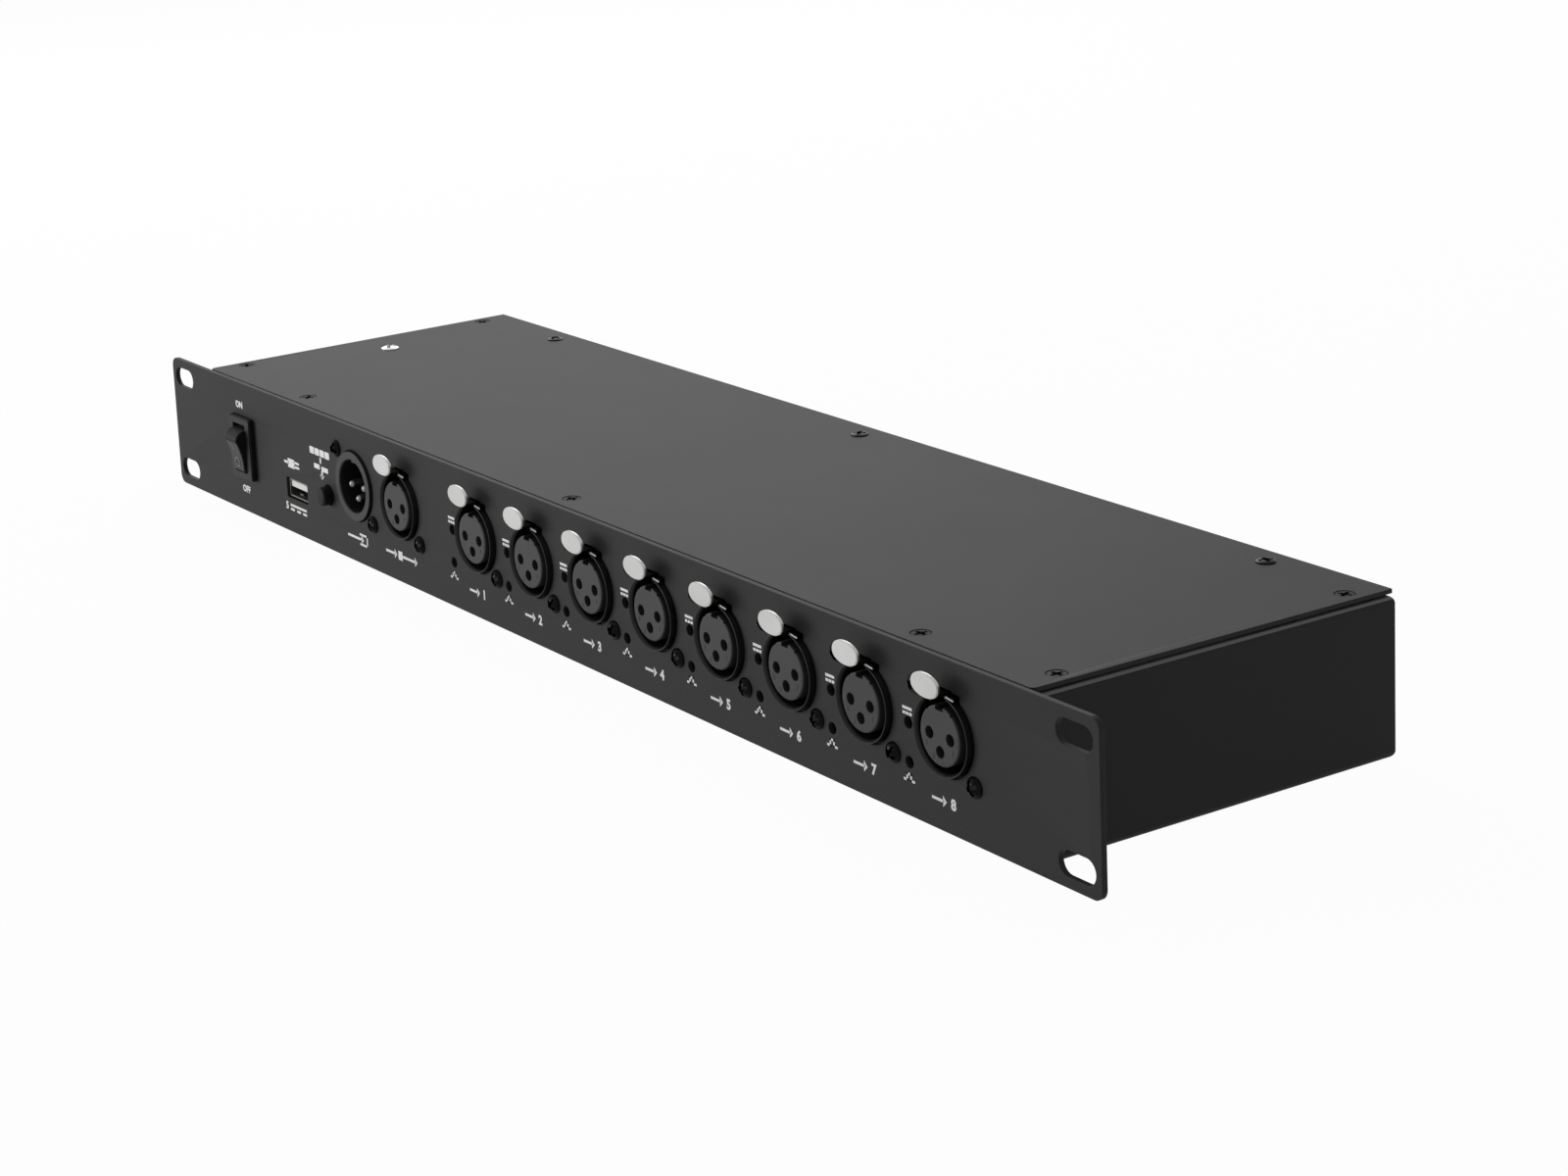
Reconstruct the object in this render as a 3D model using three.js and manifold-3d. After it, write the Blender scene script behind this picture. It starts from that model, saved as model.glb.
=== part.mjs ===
// Rack-mounted signal splitter for stage lighting, one rack unit high.
// Millimetres, X to the right seen from the front, Y into the rack, Z up.
// The origin is the middle of the chassis underside.
import * as THREE from "three";
import { mergeVertices } from "three/addons/utils/BufferGeometryUtils.js";
import Module from "manifold-3d";

const wasm = await Module();
wasm.setup();

// General clearances and the reach of cutting tools past a face
const FIT_GAP = 0.3;
const CUT_OVERRUN = 2;
const MERGE_TOLERANCE = 1e-4;

// Facets of a round, by how large it is
const LARGE_ROUND_FACETS = 20;
const MEDIUM_ROUND_FACETS = 12;
const EAR_FACETS = 10;
const SMALL_ROUND_FACETS = 8;
const CORNER_FACETS = 3;

// Front panel with its rack ears
const PANEL_WIDTH = 482.6;
const PANEL_HEIGHT = 44;
const PANEL_THICKNESS = 1.6;
const PANEL_CORNER_RADIUS = 3;
const RACK_SLOT_EDGE_MARGIN = 8.75;
const RACK_SLOT_SPACING_Z = 31.75;
const RACK_SLOT_LENGTH = 13;
const RACK_SLOT_HEIGHT = 6.5;

// Folded chassis tray and its flat cover
const SHEET_THICKNESS = 1.2;
const CHASSIS_WIDTH = 432.7;
const CHASSIS_DEPTH = 114.6;
const BEND_RADIUS = 2;
const TOP_FLANGE_WIDTH = 14;
const FRONT_FLANGE_WIDTH = 11;
const COVER_THICKNESS = 1.2;
const COVER_SIDE_MARGIN = 0.75;
const COVER_CORNER_RADIUS = 1.5;

// Screws of the cover, places measured from the panel's front face
const COVER_SCREW_CENTRE_X = 5;
const COVER_SCREW_FRONT_PITCH_SHARE = 0.372082;
const COVER_SCREW_REAR_PITCH_SHARE = 0.400971;
const COVER_SCREW_FRONT_DEPTH = 8;
const COVER_SCREW_REAR_MARGIN = 7.5;
const COVER_SCREW_SIDE_MARGIN = 5.55;
const COVER_SCREW_SIDE_FRONT_DEPTH = 13.3;
const COVER_SCREW_SIDE_REAR_MARGIN = 11.5;
const COVER_SCREW_HOLE_RADIUS = 1.6;
const FLANGE_THREAD_RADIUS = 1.25;
const EARTH_SCREW_SIDE_MARGIN = 18.95;
const EARTH_SCREW_DEPTH = 60.8;
const EARTH_TAB_LENGTH = 26;
const EARTH_TAB_MARGIN = 6;

// Row of round three-pole connectors
const CONNECTOR_Z = 24.9;
const OUTPUT_COUNT = 8;
const FIRST_OUTPUT_X = -36.7;
const OUTPUT_PITCH = 31.66;
const THROUGH_X = -82.5;
const INPUT_X = -112;
const CONNECTOR_SCREW_X = 10.9;
const CONNECTOR_SCREW_Z = 10.1;
const CONNECTOR_SCREW_RADIUS = 1.5;
const CONNECTOR_EAR_RADIUS = 3;
const CONNECTOR_BODY_RADIUS = 12.2;
const CONNECTOR_BODY_DEPTH = 22;
const CONNECTOR_FLANGE_THICKNESS = 2.5;
const CONTACT_CIRCLE_RADIUS = 4;

// Female connector
const SOCKET_RING_RADIUS = 10.4;
const SOCKET_BORE_RADIUS = 9.6;
const SOCKET_RING_PROUD = 1.7;
const SOCKET_BORE_DEPTH = 15;
const SOCKET_HOLE_CLEARANCE = 0.5;
const SOCKET_INSERT_RADIUS = 7.6;
const SOCKET_CONTACT_RADIUS = 1.6;
const SOCKET_CONTACT_DEPTH = 12;
const SOCKET_KEY_WIDTH = 3;
const SOCKET_KEY_DEPTH = 1.2;

// Latch of a female connector: a tab in front, a neck and a strip in the housing
const LATCH_TAB_WIDTH = 10.6;
const LATCH_TAB_HEIGHT = 6.2;
const LATCH_TAB_ARC_RADIUS = 12;
const LATCH_TAB_CORNER_SHARE = 0.5;
const LATCH_TAB_THICKNESS = 0.9;
const LATCH_TAB_PROUD = 6;
const LATCH_TAB_RISE = 13.7;
const LATCH_STRIP_WIDTH = 11.2;
const LATCH_STRIP_THICKNESS = 0.5;
const LATCH_STRIP_END_DEPTH = 8;
const LATCH_NECK_WIDTH = 4.6;
const LATCH_NECK_THICKNESS = 1;
const LATCH_FLOOR_RISE = 10;
const LATCH_TRAVEL = 1.8;

// Male connector
const PLUG_RING_RADIUS = 11;
const PLUG_BORE_RADIUS = 8.4;
const PLUG_RING_PROUD = 1;
const PLUG_BORE_DEPTH = 14;
const PLUG_HOLE_CLEARANCE = 0.4;
const PLUG_INSERT_THICKNESS = 5;
const PLUG_PIN_RADIUS = 1.2;
const PLUG_PIN_TIP_DEPTH = 1;
const PLUG_PIN_TAIL = 4;
const PLUG_KEY_WIDTH = 2.6;
const PLUG_KEY_HEIGHT = 1;

// Twin indicator beside each output
const INDICATOR_OFFSET_X = -14.6;
const INDICATOR_UPPER_DROP = 0.9;
const INDICATOR_LOWER_DROP = 11;
const INDICATOR_HOLE_RADIUS = 1.6;
const INDICATOR_LENS_RADIUS = 1.45;
const INDICATOR_LENS_FRONT_DEPTH = 2.2;
const INDICATOR_BLOCK_FRONT_DEPTH = 4.8;
const INDICATOR_BLOCK_DEPTH = 4.4;
const INDICATOR_BLOCK_WIDTH = 3.8;
const INDICATOR_BLOCK_CROWN = 2;

// Mains rocker switch
const ROCKER_X = -188.6;
const ROCKER_Z = 22.5;
const ROCKER_BEZEL_WIDTH = 15;
const ROCKER_BEZEL_HEIGHT = 21;
const ROCKER_BEZEL_PROUD = 2;
const ROCKER_BEZEL_CORNER = 1;
const ROCKER_BODY_WIDTH = 13;
const ROCKER_BODY_HEIGHT = 19;
const ROCKER_BODY_DEPTH = 17;
const ROCKER_CAVITY_WIDTH = 10.6;
const ROCKER_CAVITY_HEIGHT = 18;
const ROCKER_CAVITY_DEPTH = 12;
const ROCKER_PIVOT_DEPTH = 3.4;
const ROCKER_TILT_DEGREES = 10.5;
const ROCKER_SWEEP_ALLOWANCE = 0.4;
const ROCKER_FACE_SHARE = 0.62;
const ROCKER_DISH = 0.3;
const ROCKER_FOOT_HALF_LENGTH = 3.4;
const ROCKER_FOOT_DEPTH = 9.4;
const ROCKER_SHOULDER_DEPTH = 4.6;
const ROCKER_AXLE_RADIUS = 1.1;
const ROCKER_AXLE_REACH = 0.6;
const ROCKER_LUG_WIDTH = 0.8;
const ROCKER_LUG_HEIGHT = 4.8;
const ROCKER_LUG_LENGTH = 8;
const ROCKER_LUG_SPACING = 7;

// Push button
const BUTTON_X = -130.4;
const BUTTON_Z = 18.1;
const BUTTON_RADIUS = 3;
const BUTTON_PROUD = 3.3;
const BUTTON_EDGE_BEVEL = 0.4;
const BUTTON_HOLE_CLEARANCE = 0.4;
const BUTTON_TRAVEL = 1.5;
const BUTTON_SHOULDER_DEPTH = 2.3;
const BUTTON_STEM_RADIUS = 1.5;
const BUTTON_STEM_LENGTH = 5;
const BUTTON_BODY_WIDTH = 10;
const BUTTON_BODY_LENGTH = 9;

// USB socket
const USB_X = -152.6;
const USB_Z = 14.9;
const USB_SHELL_WIDTH = 13.2;
const USB_SHELL_HEIGHT = 5.8;
const USB_SHELL_WALL = 0.4;
const USB_SHELL_CORNER = 0.6;
const USB_SHELL_LENGTH = 15;
const USB_SHELL_RECESS = 0.8;
const USB_CUTOUT_WIDTH = 14.3;
const USB_CUTOUT_HEIGHT = 6.9;
const USB_CUTOUT_CORNER = 0.8;
const USB_TONGUE_WIDTH = 11;
const USB_TONGUE_THICKNESS = 1.8;
const USB_TONGUE_RECESS = 1.9;
const USB_CORE_LENGTH = 4;

// Mains inlet with its fuse drawer, in the rear wall
const INLET_SIDE_MARGIN = 44.35;
const INLET_FLANGE_WIDTH = 30.6;
const INLET_FLANGE_HEIGHT = 36;
const INLET_FLANGE_THICKNESS = 2.2;
const INLET_FLANGE_CORNER = 2;
const INLET_BODY_WIDTH = 27;
const INLET_BODY_HEIGHT = 32;
const INLET_BODY_DEPTH = 24;
const INLET_CAVITY_WIDTH = 24.2;
const INLET_CAVITY_HEIGHT = 16.4;
const INLET_CAVITY_CHAMFER = 4.4;
const INLET_CAVITY_DEPTH = 17;
const INLET_CAVITY_RISE = 6;
const INLET_PIN_WIDTH = 2;
const INLET_PIN_HEIGHT = 4;
const INLET_PIN_RECESS = 3;
const INLET_PIN_SPACING = 14;
const INLET_EARTH_RISE = 3.6;
const INLET_LINE_DROP = 1.4;
const INLET_TAIL_LENGTH = 8;
const DRAWER_WIDTH = 23;
const DRAWER_HEIGHT = 9;
const DRAWER_DROP = 10.6;
const DRAWER_LENGTH = 22;
const DRAWER_FACE_PROUD = 1.4;
const DRAWER_TROUGH_WALL = 1.2;
const DRAWER_FACE_THICKNESS = 2.6;
const DRAWER_GRIP_WIDTH = 8;
const DRAWER_GRIP_DEPTH = 0.8;
const FUSE_RADIUS = 2.6;
const FUSE_LENGTH = 18;
const FUSE_CAP_LENGTH = 4;
const FUSE_WAIST = 0.2;

// Circuit boards and what stands on them
const BOARD_THICKNESS = 1.6;
const BOARD_TOP_Z = 11.7;
const MAIN_BOARD_LEFT_MARGIN = 3.8;
const MAIN_BOARD_RIGHT_MARGIN = 6.88;
const MAIN_BOARD_FRONT_DEPTH = 4.8;
const MAIN_BOARD_REAR_DEPTH = 62;
const DRIVER_WIDTH = 7.5;
const DRIVER_LENGTH = 10.3;
const DRIVER_HEIGHT = 2.4;
const DRIVER_DEPTH = 30;
const CONVERTER_WIDTH = 19.5;
const CONVERTER_LENGTH = 7.5;
const CONVERTER_HEIGHT = 10;
const CONVERTER_DEPTH = 47;
const SUPPLY_BOARD_INLET_SPACING = 12.5;
const SUPPLY_BOARD_WIDTH = 90;
const BOARD_SPACING = 4;
const SUPPLY_BOARD_REAR_MARGIN = 8.5;
const TRANSFORMER_WIDTH = 26;
const TRANSFORMER_LENGTH = 22;
const TRANSFORMER_HEIGHT = 21;
const TRANSFORMER_CORE_WIDTH = 8;
const TRANSFORMER_BOBBIN_INSET = 3;
const TRANSFORMER_SHARE = 0.52;
const CAPACITOR_RADIUS = 7;
const CAPACITOR_HEIGHT = 24;
const CAPACITOR_BEVEL = 0.8;
const CAPACITOR_SHARE = 0.2;
const SPACER_RADIUS = 2.5;
const SPACER_MARGIN = 5;
const MAIN_BOARD_SPACER_COLUMNS = 3;
const SUPPLY_BOARD_SPACER_COLUMNS = 2;

// Places worked out from the sizes above
const CHASSIS_FRONT_Y = -CHASSIS_DEPTH / 2;
const CHASSIS_REAR_Y = CHASSIS_DEPTH / 2;
const PANEL_BACK_Y = CHASSIS_FRONT_Y - FIT_GAP;
const PANEL_FRONT_Y = PANEL_BACK_Y - PANEL_THICKNESS;
const COVER_UNDERSIDE_Z = PANEL_HEIGHT - COVER_THICKNESS;
const CHASSIS_TOP_Z = COVER_UNDERSIDE_Z - FIT_GAP;
const PANEL_BACK_DEPTH = PANEL_THICKNESS;
const CONNECTOR_BACK_DEPTH = PANEL_BACK_DEPTH + FIT_GAP;
const CONNECTOR_BASE_DROP = CONNECTOR_Z - BOARD_TOP_Z - FIT_GAP;
const SOCKET_HOLE_RADIUS = SOCKET_RING_RADIUS + SOCKET_HOLE_CLEARANCE;
const PLUG_HOLE_RADIUS = PLUG_RING_RADIUS + PLUG_HOLE_CLEARANCE;
const BOARD_UNDERSIDE_Z = BOARD_TOP_Z - BOARD_THICKNESS;
const INLET_Z = CHASSIS_TOP_Z / 2;
const CHASSIS_REAR_DEPTH = PANEL_THICKNESS + FIT_GAP + CHASSIS_DEPTH;
const EARTH_SCREW_X = EARTH_SCREW_SIDE_MARGIN - CHASSIS_WIDTH / 2;
const INLET_X = INLET_SIDE_MARGIN - CHASSIS_WIDTH / 2;
const outputX = (index) => FIRST_OUTPUT_X + index * OUTPUT_PITCH;
const outputs = Array.from({ length: OUTPUT_COUNT }, (unused, index) => index);
const ROW_RIGHT_X = outputX(OUTPUT_COUNT - 1) + CONNECTOR_BODY_RADIUS;
const MAIN_BOARD_LEFT_X = USB_X - USB_SHELL_WIDTH / 2 - MAIN_BOARD_LEFT_MARGIN;
const MAIN_BOARD_RIGHT_X = ROW_RIGHT_X + MAIN_BOARD_RIGHT_MARGIN;
const SUPPLY_BOARD_LEFT_X = INLET_X + INLET_BODY_WIDTH / 2 + SUPPLY_BOARD_INLET_SPACING;
const SUPPLY_BOARD_RIGHT_X = SUPPLY_BOARD_LEFT_X + SUPPLY_BOARD_WIDTH;
const SUPPLY_BOARD_FRONT_DEPTH = MAIN_BOARD_REAR_DEPTH + BOARD_SPACING;
const SUPPLY_BOARD_REAR_DEPTH = CHASSIS_REAR_DEPTH - SUPPLY_BOARD_REAR_MARGIN;
const depthToY = (depth) => PANEL_FRONT_Y + depth;

// A closed three.js geometry as a solid for booleans
function toSolid(geometry) {
  const bare = geometry.index ? geometry.toNonIndexed() : geometry.clone();
  bare.deleteAttribute("normal");
  bare.deleteAttribute("uv");
  const merged = mergeVertices(bare, MERGE_TOLERANCE);
  const corners = merged.index.array;
  const triangles = [];
  for (let i = 0; i < corners.length; i += 3) {
    const [a, b, c] = corners.slice(i, i + 3);
    if (a !== b && b !== c && c !== a) triangles.push(a, b, c);
  }
  return new wasm.Manifold(
    new wasm.Mesh({
      numProp: 3,
      vertProperties: merged.attributes.position.array,
      triVerts: new Uint32Array(triangles),
    }),
  );
}

// A solid back to a geometry for a mesh
function toGeometry(solid) {
  const mesh = solid.getMesh();
  const positions = new Float32Array(mesh.numVert * 3);
  for (let i = 0; i < mesh.numVert; i++) {
    const start = i * mesh.numProp;
    positions.set(mesh.vertProperties.subarray(start, start + 3), i * 3);
  }
  const geometry = new THREE.BufferGeometry();
  geometry.setAttribute("position", new THREE.BufferAttribute(positions, 3));
  geometry.setIndex(new THREE.BufferAttribute(mesh.triVerts, 1));
  geometry.computeVertexNormals();
  return geometry;
}

const join = (...solids) => solids.reduce((sum, solid) => sum.add(solid));
const cut = (body, ...tools) => tools.reduce((rest, tool) => rest.subtract(tool), body);

// Block between two opposite corners
function block([x0, y0, z0], [x1, y1, z1]) {
  const geometry = new THREE.BoxGeometry(x1 - x0, y1 - y0, z1 - z0);
  geometry.translate((x0 + x1) / 2, (y0 + y1) / 2, (z0 + z1) / 2);
  return toSolid(geometry);
}

// Block centred on x and z, between two depths
function bar(x, z, width, height, y0, y1) {
  return block([x - width / 2, y0, z - height / 2], [x + width / 2, y1, z + height / 2]);
}

// Round rod along Y
function rod(x, z, radius, y0, y1, facets) {
  const geometry = new THREE.CylinderGeometry(radius, radius, y1 - y0, facets);
  geometry.translate(x, (y0 + y1) / 2, z);
  return toSolid(geometry);
}

// Round post along Z
function post(x, y, radius, z0, z1, facets) {
  const geometry = new THREE.CylinderGeometry(radius, radius, z1 - z0, facets);
  geometry.rotateX(Math.PI / 2);
  geometry.translate(x, y, (z0 + z1) / 2);
  return toSolid(geometry);
}

// Solid turned about the Y axis from [radius, y] points that start and end on the axis
function turned(points, facets) {
  const profile = points.map(([radius, y]) => new THREE.Vector2(radius, y));
  return toSolid(new THREE.LatheGeometry(profile, facets));
}

// Outline in X and Z pushed from y0 to y1
function slabAlongY(shape, y0, y1) {
  const geometry = new THREE.ExtrudeGeometry(shape, {
    depth: y1 - y0,
    bevelEnabled: false,
    curveSegments: CORNER_FACETS,
  });
  geometry.rotateX(Math.PI / 2);
  geometry.translate(0, y1, 0);
  return toSolid(geometry);
}

// Outline in X and Y pushed from z0 to z1
function slabAlongZ(shape, z0, z1) {
  const geometry = new THREE.ExtrudeGeometry(shape, {
    depth: z1 - z0,
    bevelEnabled: false,
    curveSegments: CORNER_FACETS,
  });
  geometry.translate(0, 0, z0);
  return toSolid(geometry);
}

// Outline in Y and Z pushed from x0 to x1
function slabAlongX(shape, x0, x1) {
  const geometry = new THREE.ExtrudeGeometry(shape, {
    depth: x1 - x0,
    bevelEnabled: false,
    curveSegments: CORNER_FACETS,
  });
  geometry.rotateX(Math.PI / 2);
  geometry.rotateZ(Math.PI / 2);
  geometry.translate(x0, 0, 0);
  return toSolid(geometry);
}

// Rectangle with its own radius at each corner, from the lower left one round to the upper left
function roundedRectangle(x0, y0, x1, y1, [lowerLeft, lowerRight, upperRight, upperLeft]) {
  const shape = new THREE.Shape();
  shape.moveTo(x0 + lowerLeft, y0);
  shape.lineTo(x1 - lowerRight, y0);
  if (lowerRight) shape.absarc(x1 - lowerRight, y0 + lowerRight, lowerRight, -Math.PI / 2, 0);
  shape.lineTo(x1, y1 - upperRight);
  if (upperRight) shape.absarc(x1 - upperRight, y1 - upperRight, upperRight, 0, Math.PI / 2);
  shape.lineTo(x0 + upperLeft, y1);
  if (upperLeft) shape.absarc(x0 + upperLeft, y1 - upperLeft, upperLeft, Math.PI / 2, Math.PI);
  shape.lineTo(x0, y0 + lowerLeft);
  if (lowerLeft) shape.absarc(x0 + lowerLeft, y0 + lowerLeft, lowerLeft, Math.PI, Math.PI * 1.5);
  return shape;
}

// Rectangle about a centre with one radius
function roundedPlate(x, y, width, height, radius) {
  const corners = [radius, radius, radius, radius];
  return roundedRectangle(x - width / 2, y - height / 2, x + width / 2, y + height / 2, corners);
}

// Finishes
const paintedSteel = new THREE.MeshStandardMaterial({
  color: "#2c2c2d",
  roughness: 0.62,
  metalness: 0.1,
});
const blackPlastic = new THREE.MeshStandardMaterial({ color: "#0d0d0e", roughness: 0.45 });
const greyPlastic = new THREE.MeshStandardMaterial({ color: "#2b2b2c", roughness: 0.6 });
const whitePlastic = new THREE.MeshStandardMaterial({ color: "#d8d8d4", roughness: 0.5 });
const platedMetal = new THREE.MeshStandardMaterial({
  color: "#c9c9c8",
  roughness: 0.3,
  metalness: 1,
});
const goldPlated = new THREE.MeshStandardMaterial({
  color: "#cdb27a",
  roughness: 0.3,
  metalness: 1,
});
const boardLaminate = new THREE.MeshStandardMaterial({ color: "#1d4a2c", roughness: 0.6 });
const glassTube = new THREE.MeshStandardMaterial({ color: "#b9c2c0", roughness: 0.1 });

const splitter = new THREE.Group();

function addMesh(parent, name, solid, material) {
  const mesh = new THREE.Mesh(toGeometry(solid), material);
  mesh.name = name;
  parent.add(mesh);
  return mesh;
}

// Group whose origin is on the panel's front face, at the axis of what it holds
function panelGroup(x, z) {
  const group = new THREE.Group();
  group.position.set(x, PANEL_FRONT_Y, z);
  splitter.add(group);
  return group;
}

// Front panel: every cut-out follows the piece that sits in it
function makeFrontPanel() {
  const outline = roundedPlate(0, PANEL_HEIGHT / 2, PANEL_WIDTH, PANEL_HEIGHT, PANEL_CORNER_RADIUS);
  let panel = slabAlongY(outline, PANEL_FRONT_Y, PANEL_BACK_Y);
  const y0 = PANEL_FRONT_Y - CUT_OVERRUN;
  const y1 = PANEL_BACK_Y + CUT_OVERRUN;
  for (const side of [-1, 1]) {
    for (const level of [-1, 1]) {
      const x = side * (PANEL_WIDTH / 2 - RACK_SLOT_EDGE_MARGIN);
      const z = (PANEL_HEIGHT + level * RACK_SLOT_SPACING_Z) / 2;
      const slot = roundedPlate(x, z, RACK_SLOT_LENGTH, RACK_SLOT_HEIGHT, RACK_SLOT_HEIGHT / 2);
      panel = panel.subtract(slabAlongY(slot, y0, y1));
    }
  }
  const notchTop = LATCH_FLOOR_RISE + LATCH_NECK_THICKNESS + 2 * FIT_GAP;
  const notchHalf = LATCH_STRIP_WIDTH / 2 + FIT_GAP;
  for (const x of [THROUGH_X, ...outputs.map(outputX)]) {
    panel = cut(
      panel,
      rod(x, CONNECTOR_Z, SOCKET_HOLE_RADIUS, y0, y1, LARGE_ROUND_FACETS),
      block([x - notchHalf, y0, CONNECTOR_Z], [x + notchHalf, y1, CONNECTOR_Z + notchTop]),
    );
  }
  panel = panel.subtract(rod(INPUT_X, CONNECTOR_Z, PLUG_HOLE_RADIUS, y0, y1, LARGE_ROUND_FACETS));
  for (const x of [INPUT_X, THROUGH_X, ...outputs.map(outputX)]) {
    for (const side of [-1, 1]) {
      const screwX = x + side * CONNECTOR_SCREW_X;
      const screwZ = CONNECTOR_Z - side * CONNECTOR_SCREW_Z;
      const hole = rod(screwX, screwZ, CONNECTOR_SCREW_RADIUS, y0, y1, SMALL_ROUND_FACETS);
      panel = panel.subtract(hole);
    }
  }
  for (const index of outputs) {
    const x = outputX(index) + INDICATOR_OFFSET_X;
    for (const drop of [INDICATOR_UPPER_DROP, INDICATOR_LOWER_DROP]) {
      const z = CONNECTOR_Z - drop;
      panel = panel.subtract(rod(x, z, INDICATOR_HOLE_RADIUS, y0, y1, SMALL_ROUND_FACETS));
    }
  }
  const rockerWidth = ROCKER_BODY_WIDTH + 2 * FIT_GAP;
  const rockerHeight = ROCKER_BODY_HEIGHT + 2 * FIT_GAP;
  const usbShape = roundedPlate(USB_X, USB_Z, USB_CUTOUT_WIDTH, USB_CUTOUT_HEIGHT, USB_CUTOUT_CORNER);
  const buttonHole = BUTTON_RADIUS + BUTTON_HOLE_CLEARANCE;
  return cut(
    panel,
    bar(ROCKER_X, ROCKER_Z, rockerWidth, rockerHeight, y0, y1),
    slabAlongY(usbShape, y0, y1),
    rod(BUTTON_X, BUTTON_Z, buttonHole, y0, y1, MEDIUM_ROUND_FACETS),
  );
}

// Centres of the cover's screws, [x, depth behind the panel's front face]
function coverScrewPlaces() {
  const places = [];
  const frontPitch = COVER_SCREW_FRONT_PITCH_SHARE * CHASSIS_WIDTH;
  const rearPitch = COVER_SCREW_REAR_PITCH_SHARE * CHASSIS_WIDTH;
  const rearDepth = CHASSIS_REAR_DEPTH - COVER_SCREW_REAR_MARGIN;
  for (const step of [-1, 0, 1]) {
    places.push([COVER_SCREW_CENTRE_X + step * frontPitch, COVER_SCREW_FRONT_DEPTH]);
    places.push([COVER_SCREW_CENTRE_X + step * rearPitch, rearDepth]);
  }
  const sideX = CHASSIS_WIDTH / 2 - COVER_SCREW_SIDE_MARGIN;
  for (const side of [-1, 1]) {
    places.push([side * sideX, COVER_SCREW_SIDE_FRONT_DEPTH]);
    places.push([side * sideX, CHASSIS_REAR_DEPTH - COVER_SCREW_SIDE_REAR_MARGIN]);
  }
  places.push([EARTH_SCREW_X, EARTH_SCREW_DEPTH]);
  return places;
}

// Board laminate with two rows of spacers that stand it off the chassis floor
function spacedBoard(leftX, rightX, frontDepth, rearDepth, columns) {
  let board = block(
    [leftX, depthToY(frontDepth), BOARD_UNDERSIDE_Z],
    [rightX, depthToY(rearDepth), BOARD_TOP_Z],
  );
  const span = rightX - leftX - 2 * SPACER_MARGIN;
  const z0 = SHEET_THICKNESS + FIT_GAP;
  const z1 = BOARD_UNDERSIDE_Z + BOARD_THICKNESS / 2;
  for (let column = 0; column < columns; column++) {
    const x = leftX + SPACER_MARGIN + (span * column) / (columns - 1);
    for (const depth of [frontDepth + SPACER_MARGIN, rearDepth - SPACER_MARGIN]) {
      const spacer = post(x, depthToY(depth), SPACER_RADIUS, z0, z1, SMALL_ROUND_FACETS);
      board = board.add(spacer);
    }
  }
  return board;
}

// Box with bent edges along both ways, open at neither end
function bentBox(halfWidth, y0, y1, z0, z1, radius) {
  const front = roundedRectangle(-halfWidth, z0, halfWidth, z1, [radius, radius, radius, radius]);
  const side = roundedRectangle(y0, z0, y1, z1, [0, radius, radius, 0]);
  return slabAlongY(front, y0, y1).intersect(slabAlongX(side, -halfWidth, halfWidth));
}

// Chassis tray: one folded sheet, open to the front and, inside its flanges, to the top
function makeChassisTray() {
  const half = CHASSIS_WIDTH / 2;
  const innerHalf = half - SHEET_THICKNESS;
  const innerTop = CHASSIS_TOP_Z - SHEET_THICKNESS;
  const innerRear = CHASSIS_REAR_Y - SHEET_THICKNESS;
  const innerRadius = BEND_RADIUS - SHEET_THICKNESS;
  const outer = bentBox(half, CHASSIS_FRONT_Y, CHASSIS_REAR_Y, 0, CHASSIS_TOP_Z, BEND_RADIUS);
  const mouthHalf = half - FRONT_FLANGE_WIDTH;
  const flangeBack = CHASSIS_FRONT_Y + SHEET_THICKNESS;
  const inner = bentBox(innerHalf, flangeBack, innerRear, SHEET_THICKNESS, innerTop, innerRadius);
  const mouth = block(
    [-mouthHalf, CHASSIS_FRONT_Y - CUT_OVERRUN, SHEET_THICKNESS],
    [mouthHalf, flangeBack + CUT_OVERRUN, innerTop],
  );
  const openHalf = half - TOP_FLANGE_WIDTH;
  const openTop = block(
    [-openHalf, CHASSIS_FRONT_Y + TOP_FLANGE_WIDTH, innerTop - CUT_OVERRUN],
    [openHalf, CHASSIS_REAR_Y - TOP_FLANGE_WIDTH, CHASSIS_TOP_Z + CUT_OVERRUN],
  );
  let tray = cut(outer, inner, mouth, openTop);
  const earthY = depthToY(EARTH_SCREW_DEPTH);
  const earthTab = block(
    [-openHalf - CUT_OVERRUN, earthY - EARTH_TAB_LENGTH / 2, innerTop],
    [EARTH_SCREW_X + EARTH_TAB_MARGIN, earthY + EARTH_TAB_LENGTH / 2, CHASSIS_TOP_Z],
  );
  tray = tray.add(earthTab);
  for (const [x, depth] of coverScrewPlaces()) {
    const z0 = innerTop - CUT_OVERRUN;
    const z1 = CHASSIS_TOP_Z + CUT_OVERRUN;
    const y = depthToY(depth);
    tray = tray.subtract(post(x, y, FLANGE_THREAD_RADIUS, z0, z1, SMALL_ROUND_FACETS));
  }
  const inletWindow = bar(
    INLET_X,
    INLET_Z,
    INLET_BODY_WIDTH + 2 * FIT_GAP,
    INLET_BODY_HEIGHT + 2 * FIT_GAP,
    innerRear - CUT_OVERRUN,
    CHASSIS_REAR_Y + CUT_OVERRUN,
  );
  return tray.subtract(inletWindow);
}

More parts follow.
